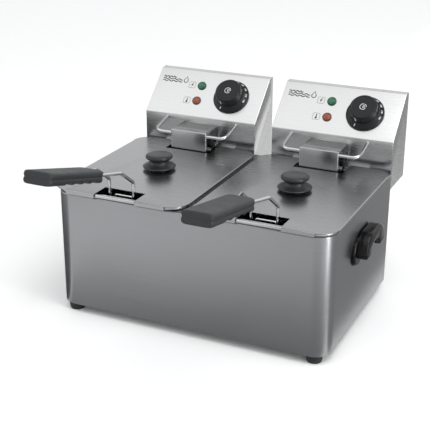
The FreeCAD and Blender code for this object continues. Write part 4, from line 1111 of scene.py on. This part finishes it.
def make_panel_print(side):
    """Black print: a bolt and a thermometer, each in a frame, and a drop beside three waves."""
    low, high = 0.02, 0.09
    icon_x, bolt_up, bulb_up, frame_half = -30.8, 55.4, 27.4, 5.4
    bm = bmesh.new()
    for up in (bolt_up, bulb_up):
        square = rounded_outline((icon_x - frame_half, up - frame_half),
                                 (icon_x + frame_half, up + frame_half), 1.9, 4)
        stroke(bm, square, 0.42, low, high, closed=True)
    bolt = [(0.9, 3.6), (-2.0, -0.5), (-0.2, -0.5), (-1.1, -3.7), (2.0, 0.7), (0.2, 0.7),
            (1.9, 3.6)]
    prism(bm, [(icon_x + x, bolt_up + y) for x, y in bolt], low, high)
    stem_r, stem_up = 0.72, bulb_up + 3.3
    bulb = arc((icon_x, bulb_up - 2.3), 1.7, 115, 425, 16)
    stem = [(icon_x + stem_r, stem_up)] + arc((icon_x, stem_up), stem_r, 0, 180, 6)
    prism(bm, bulb + stem[1:], low, high)
    wave_start, crest, cycle, steps = -84, 1.0, 10, 40
    for up, length in ((58.6, 34.0), (62.4, 34.0), (66.2, 22.0)):
        wave = [(wave_start + length * step / steps,
                 up + crest * math.sin(2 * math.pi * step / cycle)) for step in range(steps + 1)]
        stroke(bm, wave, 1.5, low, high)
    drop_x, drop_up, drop_r, drop_tip = -44.0, 61.6, 3.4, 7.6
    drop = arc((drop_x, drop_up), drop_r, 150, 390, 18) + [(drop_x, drop_up + drop_tip)]
    stroke(bm, drop, 1.2, low, high, closed=True)
    finish_piece(f"panel_print_{side}", bm, f"head_{side}", "dial_black", HEAD_X[side],
                 BLACK_INK, matrix=on_panel())


# -------- rear fittings

def make_gland(side):
    """Cable gland: a hexagonal foot, a ribbed clamping nut and an open bore."""
    across, height = 58.0, 180.0
    place = (Matrix.Translation((across, HEAD_REAR, height))
             @ Matrix.Rotation(-math.pi / 2, 4, "X"))
    bm = bmesh.new()
    hexagon_r, hexagon_top, ribbed_r = 9, 4.6, 7.2
    prism(bm, arc((0, 0), hexagon_r, 0, 300, 5), 0.02, hexagon_top)
    nut = lathe(softened([(4, -8), (7.6, -8), (7.6, 4.5), (7.9, 5), (7.6, 6.2), (6.8, 9.2),
                          (5.8, 10), (4, 10), (4, -8)], 0.4), 60)
    for vertex in nut.verts:
        flat = Vector((vertex.co.x, vertex.co.y))
        if flat.length > ribbed_r and vertex.co.z > hexagon_top:
            turn = math.atan2(flat.y, flat.x)
            vertex.co.xy = flat * (1 - 0.03 * (1 + math.cos(20 * turn)))
    merge(bm, nut)
    piece = finish_piece(f"gland_{side}", bm, f"head_{side}", "black_bakelite", HEAD_X[side],
                         matrix=place)
    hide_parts(f"cable_gland_{side}")


def make_reset_button(side):
    """Domed red reset button."""
    low, high = extent(f"reset_button_{side}", HEAD_X[side])
    radius = (high.x - low.x) / 2
    length = high.y - low.y
    place = (Matrix.Translation(((low.x + high.x) / 2, low.y, (low.z + high.z) / 2))
             @ Matrix.Rotation(-math.pi / 2, 4, "X"))
    bm = lathe(softened([(0, 0), (radius, 0), (radius, length - 1.2), (radius - 0.8, length - 0.3),
                         (radius - 1.8, length), (0, length - 0.2)], 0.4), 32)
    piece = finish_piece(f"reset_cap_{side}", bm, f"reset_{side}", "reset_red", HEAD_X[side],
                         matrix=place)
    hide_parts(f"reset_button_{side}")


make_case_wrap()
make_feet()
for side in SIDES:
    for make_piece in (make_side_handle, make_tank, make_lid, make_lid_knob, make_basket_mesh,
                       make_basket_frame, make_handle_wire):
        make_piece(side)
    for upper in (True, False):
        make_grip_half(side, upper)
    for make_piece in (make_head_cover, make_element_cover, make_cover_plug, make_drain_bar,
                       make_dial, make_dial_print):
        make_piece(side)
    for kind in LAMPS:
        make_lamp(side, kind)
    for make_piece in (make_panel_print, make_gland, make_reset_button):
        make_piece(side)
